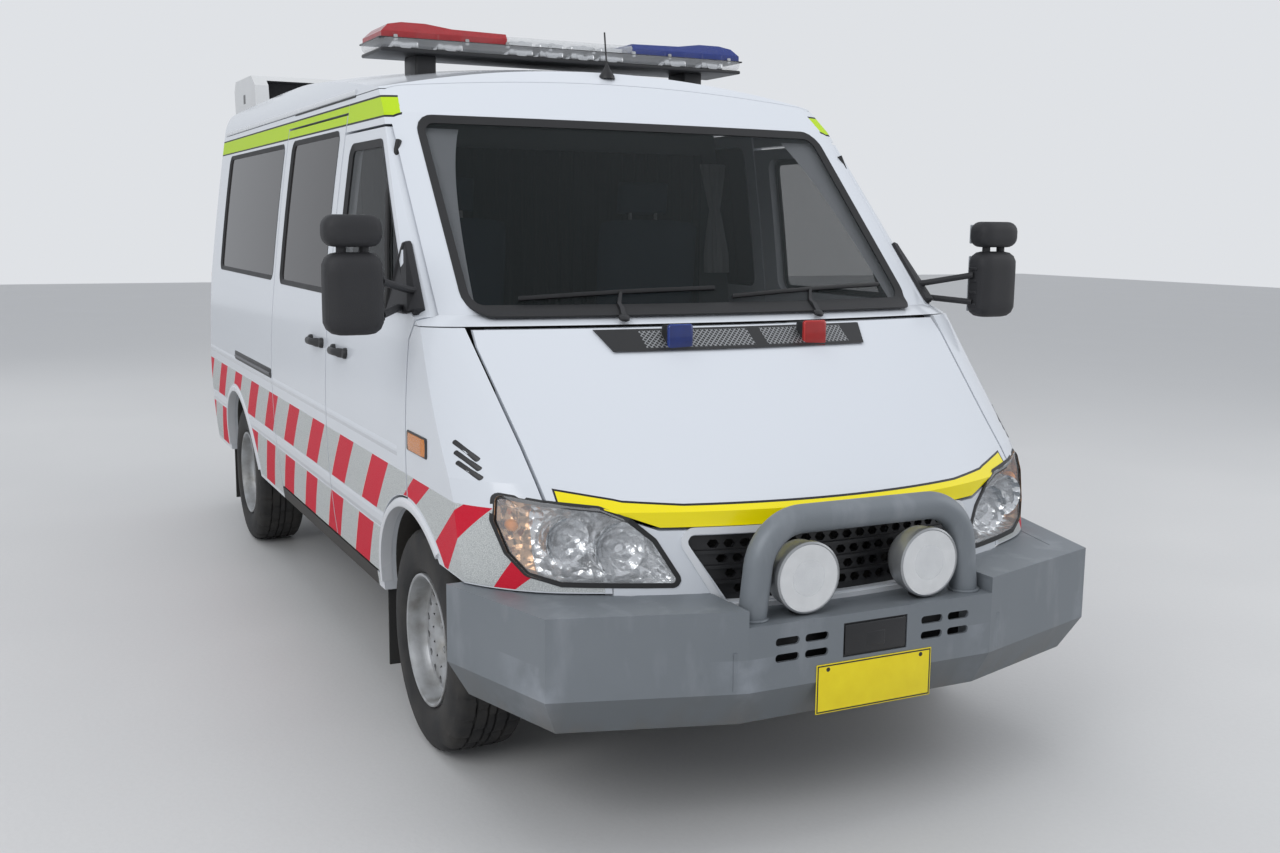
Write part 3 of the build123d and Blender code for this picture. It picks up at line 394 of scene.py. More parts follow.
dark_glass = tinted_pane("dark_glass", (0.012, 0.009, 0.008), 0.97, 0.20)
cab_glass = tinted_pane("cab_glass", (0.006, 0.009, 0.009), 0.36)
for name in ("side_glass", "rear_door_glass_left", "rear_door_glass_right"):
    dress(name, dark_glass)
for name in ("windscreen", "front_door_glass_left", "front_door_glass_right"):
    dress(name, cab_glass)
chassis_black = plain_finish("chassis_black", (0.018, 0.017, 0.016), (0.05, 0.045, 0.038), 0.6, 5.0, 0.001, 80.0)
for name in ("floor_pan", "wheel_boxes", "firewall", "chassis_frame", "rear_axle", "engine_block", "propshaft",
             "fuel_tank", "knuckle_left", "knuckle_right"):
    dress(name, chassis_black)


# Seals: black rubber strips between each pane and its panel, bonded round the opening.
# They follow the skin, which is read from the CAD panels by rays from outside.
class Build:
    """Points and faces of one piece, gathered shape by shape."""

    def __init__(self):
        self.points = []
        self.faces = []

    def loft(self, rings, closed=True, capped=True, looped=False):
        start = len(self.points)
        count = len(rings[0])
        rows = len(rings)
        for ring in rings:
            self.points += [tuple(point) for point in ring]
        for row in range(rows if looped else rows - 1):
            low = start + row * count
            high = start + (row + 1) % rows * count
            for at in range(count if closed else count - 1):
                after = (at + 1) % count
                self.faces.append((low + at, low + after, high + after, high + at))
        if capped and closed and not looped:
            self.faces.append(tuple(range(start + count - 1, start - 1, -1)))
            self.faces.append(tuple(range(start + (rows - 1) * count, start + rows * count)))
        return self

    def tube(self, path, radius, sides=10):
        """A round bar along a path, which turns without twisting."""
        path = [Vector(point) for point in path]
        rings = []
        side = None
        for at, point in enumerate(path):
            ahead = (path[min(at + 1, len(path) - 1)] - path[max(at - 1, 0)]).normalized()
            if side is None:
                side = ahead.orthogonal().normalized()
            side = (side - ahead * side.dot(ahead)).normalized()
            other = ahead.cross(side)
            turns = [2 * pi * step / sides for step in range(sides)]
            rings.append([point + side * cos(turn) * radius + other * sin(turn) * radius for turn in turns])
        return self.loft(rings)

    def turn(self, profile, centre, axis, sides=32):
        """A turned shape: profile rows are (radius, distance along the axis)."""
        centre = Vector(centre)
        axis = Vector(axis).normalized()
        side = axis.orthogonal().normalized()
        other = axis.cross(side)
        rings = []
        for radius, along in profile:
            turns = [2 * pi * step / sides for step in range(sides)]
            spokes = [side * cos(turn) + other * sin(turn) for turn in turns]
            rings.append([centre + axis * along + spoke * max(radius, 0.0004) for spoke in spokes])
        return self.loft(rings)

    def slab(self, low, high, radius, place=None):
        """A box with rounded edges between any two opposite corners, moved by a matrix if one is given."""
        low, high = [Vector([pick(pair) for pair in zip(low, high)]) for pick in (min, max)]
        middle, half = (low + high) / 2, (high - low) / 2
        radius = min(radius, min(half) * 0.98)
        rings = []
        for level in range(-4, 5):
            if level == 0:
                continue
            tilt = (4 - abs(level)) / 3 * pi / 2
            draw = radius * (1 - sin(tilt))
            lift = (half.z - radius + radius * cos(tilt)) * (1 if level > 0 else -1)
            rings.append((draw, lift))
        built = []
        for draw, lift in rings:
            ring = []
            for cx, cy, quarter in ((1, 1, 0), (-1, 1, 1), (-1, -1, 2), (1, -1, 3)):
                for step in range(4):
                    turn = (quarter + step / 3) * pi / 2
                    reach = radius - draw
                    x = cx * (half.x - radius) + cos(turn) * reach
                    y = cy * (half.y - radius) + sin(turn) * reach
                    point = middle + Vector((x, y, lift))
                    ring.append(place @ point if place else point)
            built.append(ring)
        return self.loft(built)


def make(name, build, body, finish, stands_for=(), crease=35):
    """Turns gathered shapes into a piece that moves with a body."""
    mesh = bpy.data.meshes.new(name)
    mesh.from_pydata(build.points, [], build.faces)
    shape = bmesh.new()
    shape.from_mesh(mesh)
    bmesh.ops.remove_doubles(shape, verts=shape.verts, dist=0.00001)
    bmesh.ops.recalc_face_normals(shape, faces=shape.faces)
    shape.to_mesh(mesh)
    shape.free()
    mesh.shade_smooth()
    mesh.set_sharp_from_angle(angle=radians(crease))
    mesh.materials.append(finish)
    piece = bpy.data.objects.new(name, mesh)
    bpy.context.scene.collection.objects.link(piece)
    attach(piece, body)
    if stands_for:
        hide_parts(*stands_for)
    return piece


SKINS = WHITE_PANELS + ["windscreen", "side_glass", "headlamps", "front_door_glass_left", "front_door_glass_right",
                        "rear_door_glass_left", "rear_door_glass_right"]
skin_points = []
skin_faces = []
for name in SKINS:
    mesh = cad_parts[name].data
    base = len(skin_points)
    skin_points += [vertex.co.copy() for vertex in mesh.vertices]
    skin_faces += [tuple(base + at for at in face.vertices) for face in mesh.polygons]
skin = BVHTree.FromPolygons(skin_points, skin_faces)
SHUT_LINE = 0.014


def skin_point(start, direction, first, second):
    """The skin where a ray meets it, or what lies beside it where the ray falls into a shut line."""
    hits = []
    for shift in (Vector(), first * SHUT_LINE, first * -SHUT_LINE, second * SHUT_LINE, second * -SHUT_LINE):
        place, normal, _, _ = skin.ray_cast(start + shift, direction)
        if place:
            hits.append(((place - start).dot(direction), normal if normal.dot(direction) < 0 else -normal))
    nearest = min(hits, key=lambda hit: hit[0])
    chosen = hits[0] if hits[0][0] < nearest[0] + 0.020 else nearest
    return start + direction * chosen[0], chosen[1]


FORWARD = Vector((1, 0, 0))
LEFTWARD = Vector((0, 1, 0))
UPWARD = Vector((0, 0, 1))
# Rays to the skin start this far out beside the van, and this far beyond its ends
BESIDE = 1.6
BEYOND = 3.5
SIDES = ((1, "left"), (-1, "right"))


def from_axle(a, y, z):
    """A place given by its distance behind the front axle."""
    return Vector((FRONT_AXLE_X - a, y, z))


def on_side(side):
    """The place on one flank for a distance behind the front axle and a height."""
    def place(a, z):
        return skin_point(from_axle(a, side * BESIDE, z), LEFTWARD * -side, FORWARD, UPWARD)
    return place


def on_front(y, z):
    return skin_point(Vector((BEYOND, y, z)), -FORWARD, LEFTWARD, UPWARD)


def on_rear(y, z):
    return skin_point(Vector((-BEYOND, y, z)), FORWARD, LEFTWARD, UPWARD)


def strip(build, place, track, section, outwards=None):
    """A strip along a track on the skin; its section is (out, up), out along the skin's normal or as given."""
    rings = []
    for one, other in track:
        spot, normal = place(one, other)
        away = normal if outwards is None else outwards
        rings.append([spot + away * out + UPWARD * up for out, up in section])
    return build.loft(rings)


def oblong(low_a, low_z, high_a, high_z):
    """The corners of a level rectangle."""
    return [(low_a, low_z), (low_a, high_z), (high_a, high_z), (high_a, low_z)]


def rounded(corners, radius, steps=5):
    """A closed outline with rounded corners and no long straight step."""
    loop = []
    count = len(corners)
    for at in range(count):
        corner = Vector(corners[at])
        before = (Vector(corners[at - 1]) - corner).normalized()
        after = (Vector(corners[(at + 1) % count]) - corner).normalized()
        half = before.angle(after) / 2
        centre = corner + (before + after).normalized() * radius / sin(half)
        start = corner + before * radius / tan(half) - centre
        end = corner + after * radius / tan(half) - centre
        for step in range(steps + 1):
            loop.append(centre + start.lerp(end, step / steps).normalized() * radius)
    spaced = []
    for at, point in enumerate(loop):
        follow = loop[(at + 1) % len(loop)]
        cuts = max(1, round((follow - point).length / 0.06))
        spaced += [point.lerp(follow, cut / cuts) for cut in range(cuts)]
    return spaced


def drawn_in(loop, by):
    """An outline moved inwards by a distance, or outwards by a negative one."""
    area = sum(p.x * q.y - q.x * p.y for p, q in zip(loop, loop[1:] + loop[:1]))
    way = 1 if area > 0 else -1
    moved = []
    for at, point in enumerate(loop):
        run = (loop[(at + 1) % len(loop)] - loop[at - 1]).normalized()
        moved.append(point + Vector((-run.y, run.x)) * by * way)
    return moved


SUNK = 0.004


def band(build, loop, outside, inside, place, lift):
    """A strip along an outline, from a distance outside it to one inside it, that stands on the skin."""
    rings = []
    for far, near in zip(drawn_in(loop, -outside), drawn_in(loop, inside)):
        outer, outer_up = place(far.x, far.y)
        inner, inner_up = place(near.x, near.y)
        rings.append([outer - outer_up * SUNK, outer + outer_up * lift,
                      inner + inner_up * lift, inner - inner_up * SUNK])
    return build.loft(rings, looped=True)


def plate(build, loop, place, lift, bevel=0.003):
    """A flat fitting with an outline, that stands on the skin."""
    rings = []
    for inwards, up in ((0, -SUNK), (0, lift - bevel * 0.6), (bevel, lift)):
        spots = [place(point.x, point.y) for point in drawn_in(loop, inwards)]
        rings.append([spot + normal * up for spot, normal in spots])
    return build.loft(rings)


def mirrored(half):
    """A closed outline from its left half."""
    return half + [(-y, z) for y, z in reversed(half)]


seal_rubber = plain_finish("seal_rubber", (0.010, 0.010, 0.011), (0.018, 0.018, 0.019), 0.5)
SCREEN = [(0.805, 1.340), (0.775, 1.950)]
DOOR_WINDOW = [(0.045, 1.340), (0.520, 1.870), (0.925, 1.870), (0.925, 1.340)]
SLIDING_WINDOW = oblong(1.110, 1.345, 1.930, 1.930)
REAR_WINDOW = oblong(2.085, 1.352, 3.470, 1.928)
REAR_DOOR_WINDOW = [(0.110, 1.380), (0.690, 1.380), (0.640, 1.890), (0.110, 1.890)]
DOOR_DIVIDER = [(0.440, 1.862), (0.385, 1.690), (0.330, 1.518), (0.285, 1.400), (0.262, 1.330)]
screen_seal = band(Build(), rounded(mirrored(SCREEN), 0.060), 0.004, 0.024, on_front, 0.0015)
make("screen_seal", screen_seal, "root", seal_rubber)
for side, name in SIDES:
    place = on_side(side)
    seals = Build()
    for window in (SLIDING_WINDOW, REAR_WINDOW):
        band(seals, rounded(window, 0.045), 0.003, 0.016, place, 0.0015)
    make(f"side_seals_{name}", seals, "root", seal_rubber)
    door_seal = band(Build(), rounded(DOOR_WINDOW, 0.045), 0.004, 0.022, place, 0.0025)
    on_divider = [place(a, z) for a, z in DOOR_DIVIDER]
    door_seal.tube([spot + normal * 0.004 for spot, normal in on_divider], 0.010)
    make(f"door_seal_{name}", door_seal, f"door_front_{name}", seal_rubber)
    rear_loop = rounded([(side * y, z) for y, z in REAR_DOOR_WINDOW], 0.050)
    rear_seal = band(Build(), rear_loop, 0.003, 0.016, on_rear, 0.0015)
    make(f"rear_seal_{name}", rear_seal, f"door_rear_{name}", seal_rubber)


# Side fittings: wheel arch lips rolled from the panel, slits behind the lamps, slide rails and door handles.
# The lips and rails are part of the pressing; handles are black mouldings over a dished recess.
lip_white = plain_finish("lip_white", (0.70, 0.72, 0.75), (0.66, 0.675, 0.70), 0.22, 3.0, 0.0001)
fitting_black = plain_finish("fitting_black", (0.012, 0.012, 0.013), (0.024, 0.024, 0.026), 0.38, 20.0, 0.0003)
rail_grey = plain_finish("rail_grey", (0.10, 0.10, 0.11), (0.16, 0.16, 0.17), 0.4)
LIP_STEPS = 48
LIP_R = 0.43
LIP_SECTION = [
    # distance from the wheel's middle, and out from the flank
    (0.414, -0.030), (0.414, 0.006), (0.420, 0.009), (0.434, 0.007), (0.442, -0.002),
]
SLITS = [
    # front and rear end, as (distance behind the axle, height)
    ((-0.455, 0.974), (-0.365, 1.017)),
    ((-0.474, 0.952), (-0.384, 0.991)),
    ((-0.492, 0.930), (-0.404, 0.966)),
]
SLIT_HALF = 0.0055
HANDLE_STEPS = 12
HANDLE_FOOT = [(0.004, 0.016), (0.016, 0.014), (0.019, 0.008), (0.019, -0.004)]


def black_part(name, build, body="root", stands_for=()):
    """A black moulded piece."""
    return make(name, build, body, fitting_black, stands_for)


for side, name in SIDES:
    place = on_side(side)
    lips = Build()
    for centre_a in (0.0, WHEELBASE):
        rings = []
        for step in range(LIP_STEPS + 1):
            turn = radians(-4 + 188 * step / LIP_STEPS)
            height = AXLE_Z + LIP_R * sin(turn)
            if height < 0.40 or (centre_a - LIP_R * cos(turn) < -0.14 and height < 0.665):
                continue
            ring = []
            for reach, out in LIP_SECTION:
                on_panel = max(reach, 0.424)
                spot, normal = place(centre_a - on_panel * cos(turn), AXLE_Z + on_panel * sin(turn))
                spot.x = FRONT_AXLE_X - centre_a + reach * cos(turn)
                spot.z = AXLE_Z + reach * sin(turn)
                ring.append(spot + LEFTWARD * side * out)
            rings.append(ring)
        lips.loft(rings)
    make(f"arch_lips_{name}", lips, "root", lip_white)

    slits = Build()
    for front, rear in SLITS:
        way = (Vector(rear) - Vector(front)).normalized()
        wide = Vector((-way.y, way.x)) * SLIT_HALF
        corners = [Vector(front) - wide, Vector(rear) - wide, Vector(rear) + wide, Vector(front) + wide]
        plate(slits, rounded(corners, 0.005, 4), place, 0.0012, 0.001)
    black_part(f"wing_slits_{name}", slits)

    rail = plate(Build(), rounded(oblong(2.050, 0.925, 2.960, 0.968), 0.010), place, 0.002)
    bead = plate(Build(), rounded(oblong(2.070, 0.938, 2.940, 0.950), 0.004), place, 0.008)
    black_part(f"slide_rail_{name}", rail)
    make(f"slide_rail_bead_{name}", bead, "root", rail_grey)

    for kind, body, start, end, z in (("slide", "root", 1.085, 1.265, 1.162),
                                      ("door", f"door_front_{name}", 0.730, 0.905, 1.156)):
        handle = Build()
        rings = []
        for step in range(HANDLE_STEPS + 1):
            way = step / HANDLE_STEPS
            spot, normal = place(start + (end - start) * way, z)
            centre = spot + normal * (0.006 + 0.026 * min(1, 3.2 * min(way, 1 - way)))
            tall = 0.013 + 0.004 * (step < 3)
            turns = [2 * pi * turned / 10 for turned in range(10)]
            rings.append([centre + Vector((0, side * cos(turn) * 0.008, sin(turn) * tall)) for turn in turns])
        handle.loft(rings)
        for a in (start + 0.004, end - 0.004):
            handle.turn(HANDLE_FOOT, *place(a, z), 20)
        black_part(f"{kind}_handle_{name}", handle, body)


# Door mirrors: two black ribbed plastic housings, one over the other, on a bent steel arm.
# The arm is screwed to a black triangle in the corner of the door window.
mirror_black = plain_finish("mirror_black", (0.014, 0.014, 0.016), (0.026, 0.026, 0.029), 0.55, 14.0, 0.0008,
                            420.0)
mirror_glass = tinted_pane("mirror_glass", (0.30, 0.32, 0.34), 1.0)
MIRROR_X = FRONT_AXLE_X + 0.100
MIRROR_FRONT_X = FRONT_AXLE_X + 0.150
MIRROR_Y = 1.145
MIRROR_BULGE = 0.15
MIRROR_STEPS = 12
SAIL = [(-0.035, 1.336), (0.165, 1.552), (0.250, 1.336)]


def mirror_housing(build, side, z_low, z_high, corner):
    """A housing whose ends round over and whose front bulges, as rings upwards."""
    rings = []
    for step in range(MIRROR_STEPS + 1):
        lift = step / MIRROR_STEPS
        z = z_low + (z_high - z_low) * (0.5 - 0.5 * cos(pi * lift))
        edge = min(z - z_low, z_high - z)
        draw = corner - (corner ** 2 - max(0, corner - edge) ** 2) ** 0.5 if edge < corner else 0
        ring = []
        for turn in [2 * pi * turned / 28 for turned in range(28)]:
            u, v = cos(turn), sin(turn)
            size = (abs(u) ** 4 + abs(v) ** 4) ** -0.25
            y = MIRROR_Y + u * size * (0.083 - draw)
            x = MIRROR_X + v * size * (0.044 - draw * 0.6) * (1 + MIRROR_BULGE * (v > 0))
            ring.append((min(x, MIRROR_FRONT_X), side * y, z))
        rings.append(ring)
    build.loft(rings)


for side, name in SIDES:
    place = on_side(side)
    housing = Build()
    mirror_housing(housing, side, 1.292, 1.522, 0.040)
    mirror_housing(housing, side, 1.537, 1.626, 0.034)
    for y in (1.112, 1.176):
        housing.tube([from_axle(-0.104, side * y, z) for z in (1.515, 1.545)], 0.014)
    for z in (1.330, 1.372, 1.414, 1.456):
        housing.slab(from_axle(-0.082, side * 1.058, z), from_axle(-0.120, side * 1.070, z + 0.012), 0.004)
    for foot_a, foot_z, grip_z in ((0.060, 1.352, 1.345), (0.038, 1.405, 1.440)):
        foot, normal = place(foot_a, foot_z)
        bend = foot + Vector((0.020, side * 0.030, 0.004))
        grip = from_axle(-0.100, side * 1.062, grip_z)
        middle = bend.lerp(grip, 0.75)
        housing.tube([foot, bend, bend.lerp(middle, 0.5), middle, grip], 0.011)
    plate(housing, rounded(SAIL, 0.010), place, 0.016, 0.008)
    body = f"door_front_{name}"
    make(f"mirror_shell_{name}", housing, body, mirror_black, (f"mirror_{name}",))
    glass = Build()
    for low, high in ((1.310, 1.505), (1.549, 1.615)):
        glass.slab(from_axle(-0.0515, side * 1.078, low), from_axle(-0.0575, side * 1.212, high), 0.003)
    make(f"mirror_glass_{name}", glass, body, mirror_glass)


# Headlamps: clear moulded lenses over chrome bowls, sealed into the wing with a black gasket.
# The outer end holds the amber indicator bulb.
HEADLAMP = [(0.463, 0.668), (0.762, 0.672), (0.838, 0.695), (0.878, 0.748), (0.903, 0.832), (0.893, 0.899),
            (0.790, 0.884), (0.660, 0.872), (0.592, 0.843), (0.533, 0.791)]
# Share of the outline and depth below the skin
LENS_DISH = [(0.995, 0.004), (0.97, 0.0005), (0.75, 0.0), (0.5, 0.0), (0.25, 0.0), (0.02, 0.0)]
BOWL_DISH = [(0.985, 0.004), (0.965, 0.030), (0.90, 0.050), (0.6, 0.075), (0.3, 0.085), (0.02, 0.088)]
# Profile rows: radius and distance forward
LAMP_BULB = [(0.001, -0.018), (0.012, -0.020), (0.014, -0.028), (0.014, -0.060)]
AMBER_BULB = [(0.001, 0.0), (0.012, -0.004), (0.017, -0.014), (0.015, -0.035)]
AMBER_FROM_Y = 0.800


def lamp_chrome():
    finish = Finish("lamp_chrome")
    x, y, z = finish.axes()
    flutes = finish.cells(34.0)
    fine = finish.noise(60.0, 3.0)
    relief = finish.bump(flutes + fine * 0.3, 0.012)
    colour = finish.mix(fine, (0.62, 0.64, 0.66), (0.85, 0.86, 0.87))
    colour = finish.mix(y.size() > AMBER_FROM_Y, colour, (0.60, 0.36, 0.20))
    return finish.shade(Base_Color=colour, Metallic=0.9, Roughness=0.12 + fine * 0.15, Normal=relief)


def clear_lens():
    finish = Finish("clear_lens")
    fine = finish.noise(9.0, 3.0)
    ribs = finish.ribs("Y", 14.0)
    colour = finish.mix(fine, (0.80, 0.82, 0.84), (0.92, 0.93, 0.94))
    return finish.shade(Base_Color=colour, Roughness=0.03 + fine * 0.04, Alpha=0.20 + fine * 0.06,
                        Normal=finish.bump(ribs, 0.0008), Specular_IOR_Level=0.9)


chrome = lamp_chrome()
clear = clear_lens()
amber_bulb = plain_finish("amber_bulb", (0.75, 0.22, 0.01), (0.85, 0.30, 0.02), 0.2, 30.0)


def dish(build, loop, place, depths):
    """A surface over an outline on the skin, sunk by each ring's depth towards its middle."""
    middle = sum(loop, Vector((0, 0))) / len(loop)
    rings = []
    for scale, depth in depths:
        ring = []
        for point in loop:
            spot, normal = place(*(middle + (point - middle) * scale))
            ring.append(spot - FORWARD * depth)
        rings.append(ring)
    return build.loft(rings, capped=False)


def mirror_bowl(radius, start, deep, steps):
    """Profile rows of a mirror bowl, from its mouth to its middle."""
    shares = [1 - step / steps for step in range(steps + 1)]
    return [(radius * share, start - deep * (1 - share ** 2)) for share in shares]


for side, name in SIDES:
    loop = rounded([(side * y, z) for y, z in HEADLAMP], 0.018)
    lens = dish(Build(), loop, on_front, LENS_DISH)
    make(f"headlamp_lens_{name}", lens, "root", clear, ("headlamps",) if side == 1 else ())
    bowl = dish(Build(), loop, on_front, BOWL_DISH)
    for y, z, radius in ((0.615, 0.765, 0.068), (0.738, 0.785, 0.058)):
        spot, normal = on_front(side * y, z)
        rim = [(radius + 0.004, -0.060), (radius + 0.004, -0.010)]
        bowl.turn(rim + mirror_bowl(radius, -0.012, 0.052, 6), spot, FORWARD, 36)
        bowl.turn(LAMP_BULB, spot, FORWARD, 16)
    make(f"headlamp_bowl_{name}", bowl, "root", chrome)
    bulb_at, normal = on_front(side * 0.852, 0.815)
    bulb = Build().turn(AMBER_BULB, bulb_at - FORWARD * 0.020, FORWARD, 20)
    make(f"indicator_bulb_{name}", bulb, "root", amber_bulb)
    gasket = band(Build(), loop, 0.004, 0.009, on_front, 0.002)
    make(f"headlamp_gasket_{name}", gasket, "root", seal_rubber)


# Front trim: a white frame round the grille's recess.
# The frame is painted plastic, clipped to the nose panel.
GRILLE_FRAME = [(0.3655, 0.608), (0.4805, 0.812)]
grille_frame = band(Build(), rounded(mirrored(GRILLE_FRAME), 0.028), 0.009, 0.009, on_front, 0.008)
make("grille_frame", grille_frame, "root", lip_white)


# Spot lamps: two round driving lamps with grey shells, bolted to the bar through a black foot.
# Each shell holds a mirror bowl and a bulb cap behind a clear lens.
spot_shell = plain_finish("spot_shell", (0.30, 0.31, 0.32), (0.42, 0.43, 0.44), 0.3, 12.0, 0.0002, Metallic=0.6)


def spot_chrome():
    finish = Finish("spot_chrome")
    fine = finish.noise(25.0, 3.0)
    colour = finish.mix(fine, (0.70, 0.71, 0.72), (0.90, 0.91, 0.92))
    return finish.shade(Base_Color=colour, Metallic=0.85, Roughness=0.08 + fine * 0.10,
                        Normal=finish.bump(fine, 0.0012))


spot_bowl = spot_chrome()
BAR_NOSE_X = FRONT_AXLE_X + 1.030
SPOT_Y = 0.195
SPOT_STEPS = 48
# Profile rows: radius and distance forward
SPOT_SHELL = [
    (0.001, -0.060), (0.0885, -0.060), (0.0885, -0.002), (0.091, 0.0), (0.096, -0.003), (0.0965, -0.016),
    (0.092, -0.020), (0.092, -0.040), (0.090, -0.064), (0.074, -0.090), (0.050, -0.110), (0.020, -0.119),
    (0.001, -0.120),
]
SPOT_BULB = [(0.001, -0.014), (0.013, -0.016), (0.015, -0.024), (0.010, -0.050)]
SPOT_LENS = [(0.0895, -0.004), (0.086, 0.0005), (0.060, 0.0035), (0.030, 0.005), (0.001, 0.0055)]
shells = Build()
bowls = Build()
lenses = Build()
feet = Build()
for side in (1, -1):
    y = side * SPOT_Y
    centre = Vector((BAR_NOSE_X - 0.030, y, 0.705))
    shells.turn(SPOT_SHELL, centre, FORWARD, SPOT_STEPS)
    bowls.turn([(0.089, -0.002)] + mirror_bowl(0.089, -0.004, 0.050, 8), centre, FORWARD, SPOT_STEPS)
    bowls.turn(SPOT_BULB, centre, FORWARD, 20)
    lenses.turn(SPOT_LENS, centre - FORWARD * 0.006, FORWARD, SPOT_STEPS)
    feet.slab((BAR_NOSE_X - 0.085, y - 0.030, 0.604), (BAR_NOSE_X - 0.045, y + 0.030, 0.622), 0.006)
    feet.turn([(0.013, 0), (0.013, 0.012), (0.009, 0.013)], (BAR_NOSE_X - 0.065, y, 0.6045), UPWARD, 6)
make("spot_shells", shells, "root", spot_shell, ("spot_lamps",))
make("spot_bowls", bowls, "root", spot_bowl)
make("spot_lenses", lenses, "root", clear)
black_part("spot_feet", feet)


# Number plate: pressed and blank, yellow with a black rim, on two bolts.
# It is thin aluminium sheet and lies flat on the bar's front face.
PLATE_MIDDLE_Z = 0.410
PLATE_BOLT = [(0.001, 0.0030), (0.006, 0.0029), (0.0075, 0.0010), (0.0075, -0.001)]


def plate_enamel():
    finish = Finish("plate_enamel")
    x, y, z = finish.axes()
    scuff = finish.noise(22.0, 5.0)
    half, tall = y.size(), (z - PLATE_MIDDLE_Z).size()
    rim = (half > 0.1795) | (tall > 0.0605)
    margin = (half > 0.1835) | (tall > 0.0645)
    colour = finish.mix(scuff, (0.80, 0.62, 0.0), (0.92, 0.76, 0.01))
    colour = finish.mix(rim * (1 - margin), colour, (0.015, 0.015, 0.015))
    return finish.shade(Base_Color=colour, Roughness=0.25 + scuff * 0.15, Normal=finish.bump(scuff, 0.0003))


enamel = plate_enamel()
sheet = Build().slab((BAR_NOSE_X + 0.0002, -0.186, 0.343), (BAR_NOSE_X + 0.0026, 0.186, 0.477), 0.0010)
make("plate_sheet", sheet, "root", enamel, ("number_plate",))
bolts = Build()
for y in (-0.150, 0.150):
    bolts.turn(PLATE_BOLT, (BAR_NOSE_X, y, 0.462), FORWARD, 12)
black_part("plate_bolts", bolts)


# Bull bar: folded steel channel and tube hoop, painted blue-grey and rubbed pale on its corners, with painted
# shade below its lip.
# It is bolted to the chassis rails; the hoop is welded to its top.
# Height of the top of the bar's lip; below it the bar's colour is darkened as painted shade
SHADE_BELOW_LIP_Z = 0.432
WELD_STEPS = 28
# The front edge of the wings' deck: distance behind the axle, and from the middle
DECK_FRONT = [(-1.030, 0.392), (-0.880, 0.885), (-0.470, 1.003)]


def bar_paint():
    finish = Finish("bar_paint")
    x, y, z = finish.axes()
    mottle = finish.noise(3.0, 6.0)
    streaks = finish.noise(9.0, 6.0, (1.0, 1.0, 0.35))
    grain = finish.noise(220.0, 3.0)
    colour = finish.mix(mottle, (0.165, 0.185, 0.205), (0.225, 0.245, 0.265))
    colour = finish.mix(finish.ramp(streaks, 0.52, 0.75) * 0.6, colour, (0.32, 0.34, 0.37))
    half = y.size()
    corner = finish.ramp((half - 0.392).size(), 0.10, 0.01) | finish.ramp((half - 0.885).size(), 0.06, 0.01)
    rubbed = corner * finish.ramp(finish.noise(7.0, 5.0), 0.45, 0.65) * (z < 0.52)
    colour = finish.mix(rubbed * 0.55, colour, (0.40, 0.43, 0.48))
    # Painted shade: the bar is darker below the top of its lip, where the lip shades it
    colour = finish.mix((z < SHADE_BELOW_LIP_Z) * 0.45, colour, (0.10, 0.11, 0.115))
    dirt = finish.ramp(z, 0.46, 0.33) * finish.ramp(streaks, 0.40, 0.65)
    colour = finish.mix(dirt * 0.5, colour, (0.13, 0.115, 0.095))
    return finish.shade(Base_Color=colour, Roughness=0.42 + mottle * 0.18, Metallic=0.25,
                        Normal=finish.bump(grain, 0.0003))


steel_grey = bar_paint()
dress("bull_bar", steel_grey)
dress("bar_box", fitting_black)
welds = Build()
for side in (1, -1):
    foot = Vector((BAR_NOSE_X - 0.066, side * 0.345, 0.6045))
    ring = []
    for step in range(WELD_STEPS + 1):
        turn = 2 * pi * step / WELD_STEPS
        wobble = 0.0395 + 0.0012 * sin(step * 2.9)
        ring.append(foot + Vector((cos(turn) * wobble, sin(turn) * wobble, 0.002)))
    welds.tube(ring, 0.0045, 8)
make("hoop_welds", welds, "root", steel_grey)
decks = Build()
for side in (1, -1):
    rings = []
    for y in (0.396, 0.480, 0.600, 0.740, 0.885, 0.915, 0.945, 0.972):
        near, far = DECK_FRONT[:2] if y <= 0.885 else DECK_FRONT[1:]
        front_a = near[0] + (far[0] - near[0]) * (y - near[1]) / (far[1] - near[1]) + 0.020
        back_a = -0.780 + 0.240 * max(0.0, (y - 0.600) / 0.372)
        corners = ((front_a, 0.641), (front_a, 0.647), (back_a, 0.647), (back_a, 0.641))
        rings.append([from_axle(a, side * y, z) for a, z in corners])
    decks.loft(rings)
    cap_front_x = BAR_NOSE_X - 0.0085
    decks.slab((FRONT_AXLE_X + 0.780, side * 0.3925, 0.6000), (cap_front_x, side * 0.3985, 0.6465), 0.002)
decks.slab((BAR_NOSE_X - 0.190, -0.392, 0.5975), (BAR_NOSE_X - 0.080, 0.392, 0.6035), 0.002)
make("bar_decks", decks, "root", steel_grey)
# Painted shade: a black sheet behind the slot in the bar's face stands in for the shade inside the channel
backing = Build().slab((BAR_NOSE_X - 0.068, -0.330, 0.480), (BAR_NOSE_X - 0.060, 0.330, 0.590), 0.002)
black_part("slot_shade_sheet", backing)
box_black = plain_finish("box_face", (0.010, 0.010, 0.011), (0.020, 0.020, 0.022), 0.25)
box_face = Build()
box_face.slab((BAR_NOSE_X - 0.006, -0.098, 0.492), (BAR_NOSE_X + 0.0015, 0.098, 0.575), 0.004)
box_face.slab((BAR_NOSE_X - 0.004, -0.030, 0.508), (BAR_NOSE_X + 0.0025, 0.030, 0.548), 0.003)
make("bar_box_face", box_face, "root", box_black)


# Wheels: black tyres with a blocked tread and silver steel rims with a ring of oval vents.
# Five bolts hold each rim to its hub.
def tyre_rubber():
    finish = Finish("tyre_rubber")
    dust = finish.noise(9.0, 6.0)
    fine = finish.noise(160.0, 3.0)
    colour = finish.mix(finish.ramp(dust, 0.35, 0.75), (0.016, 0.016, 0.017), (0.045, 0.042, 0.038))
    return finish.shade(Base_Color=colour, Roughness=0.72 + dust * 0.15, Normal=finish.bump(fine, 0.0006))


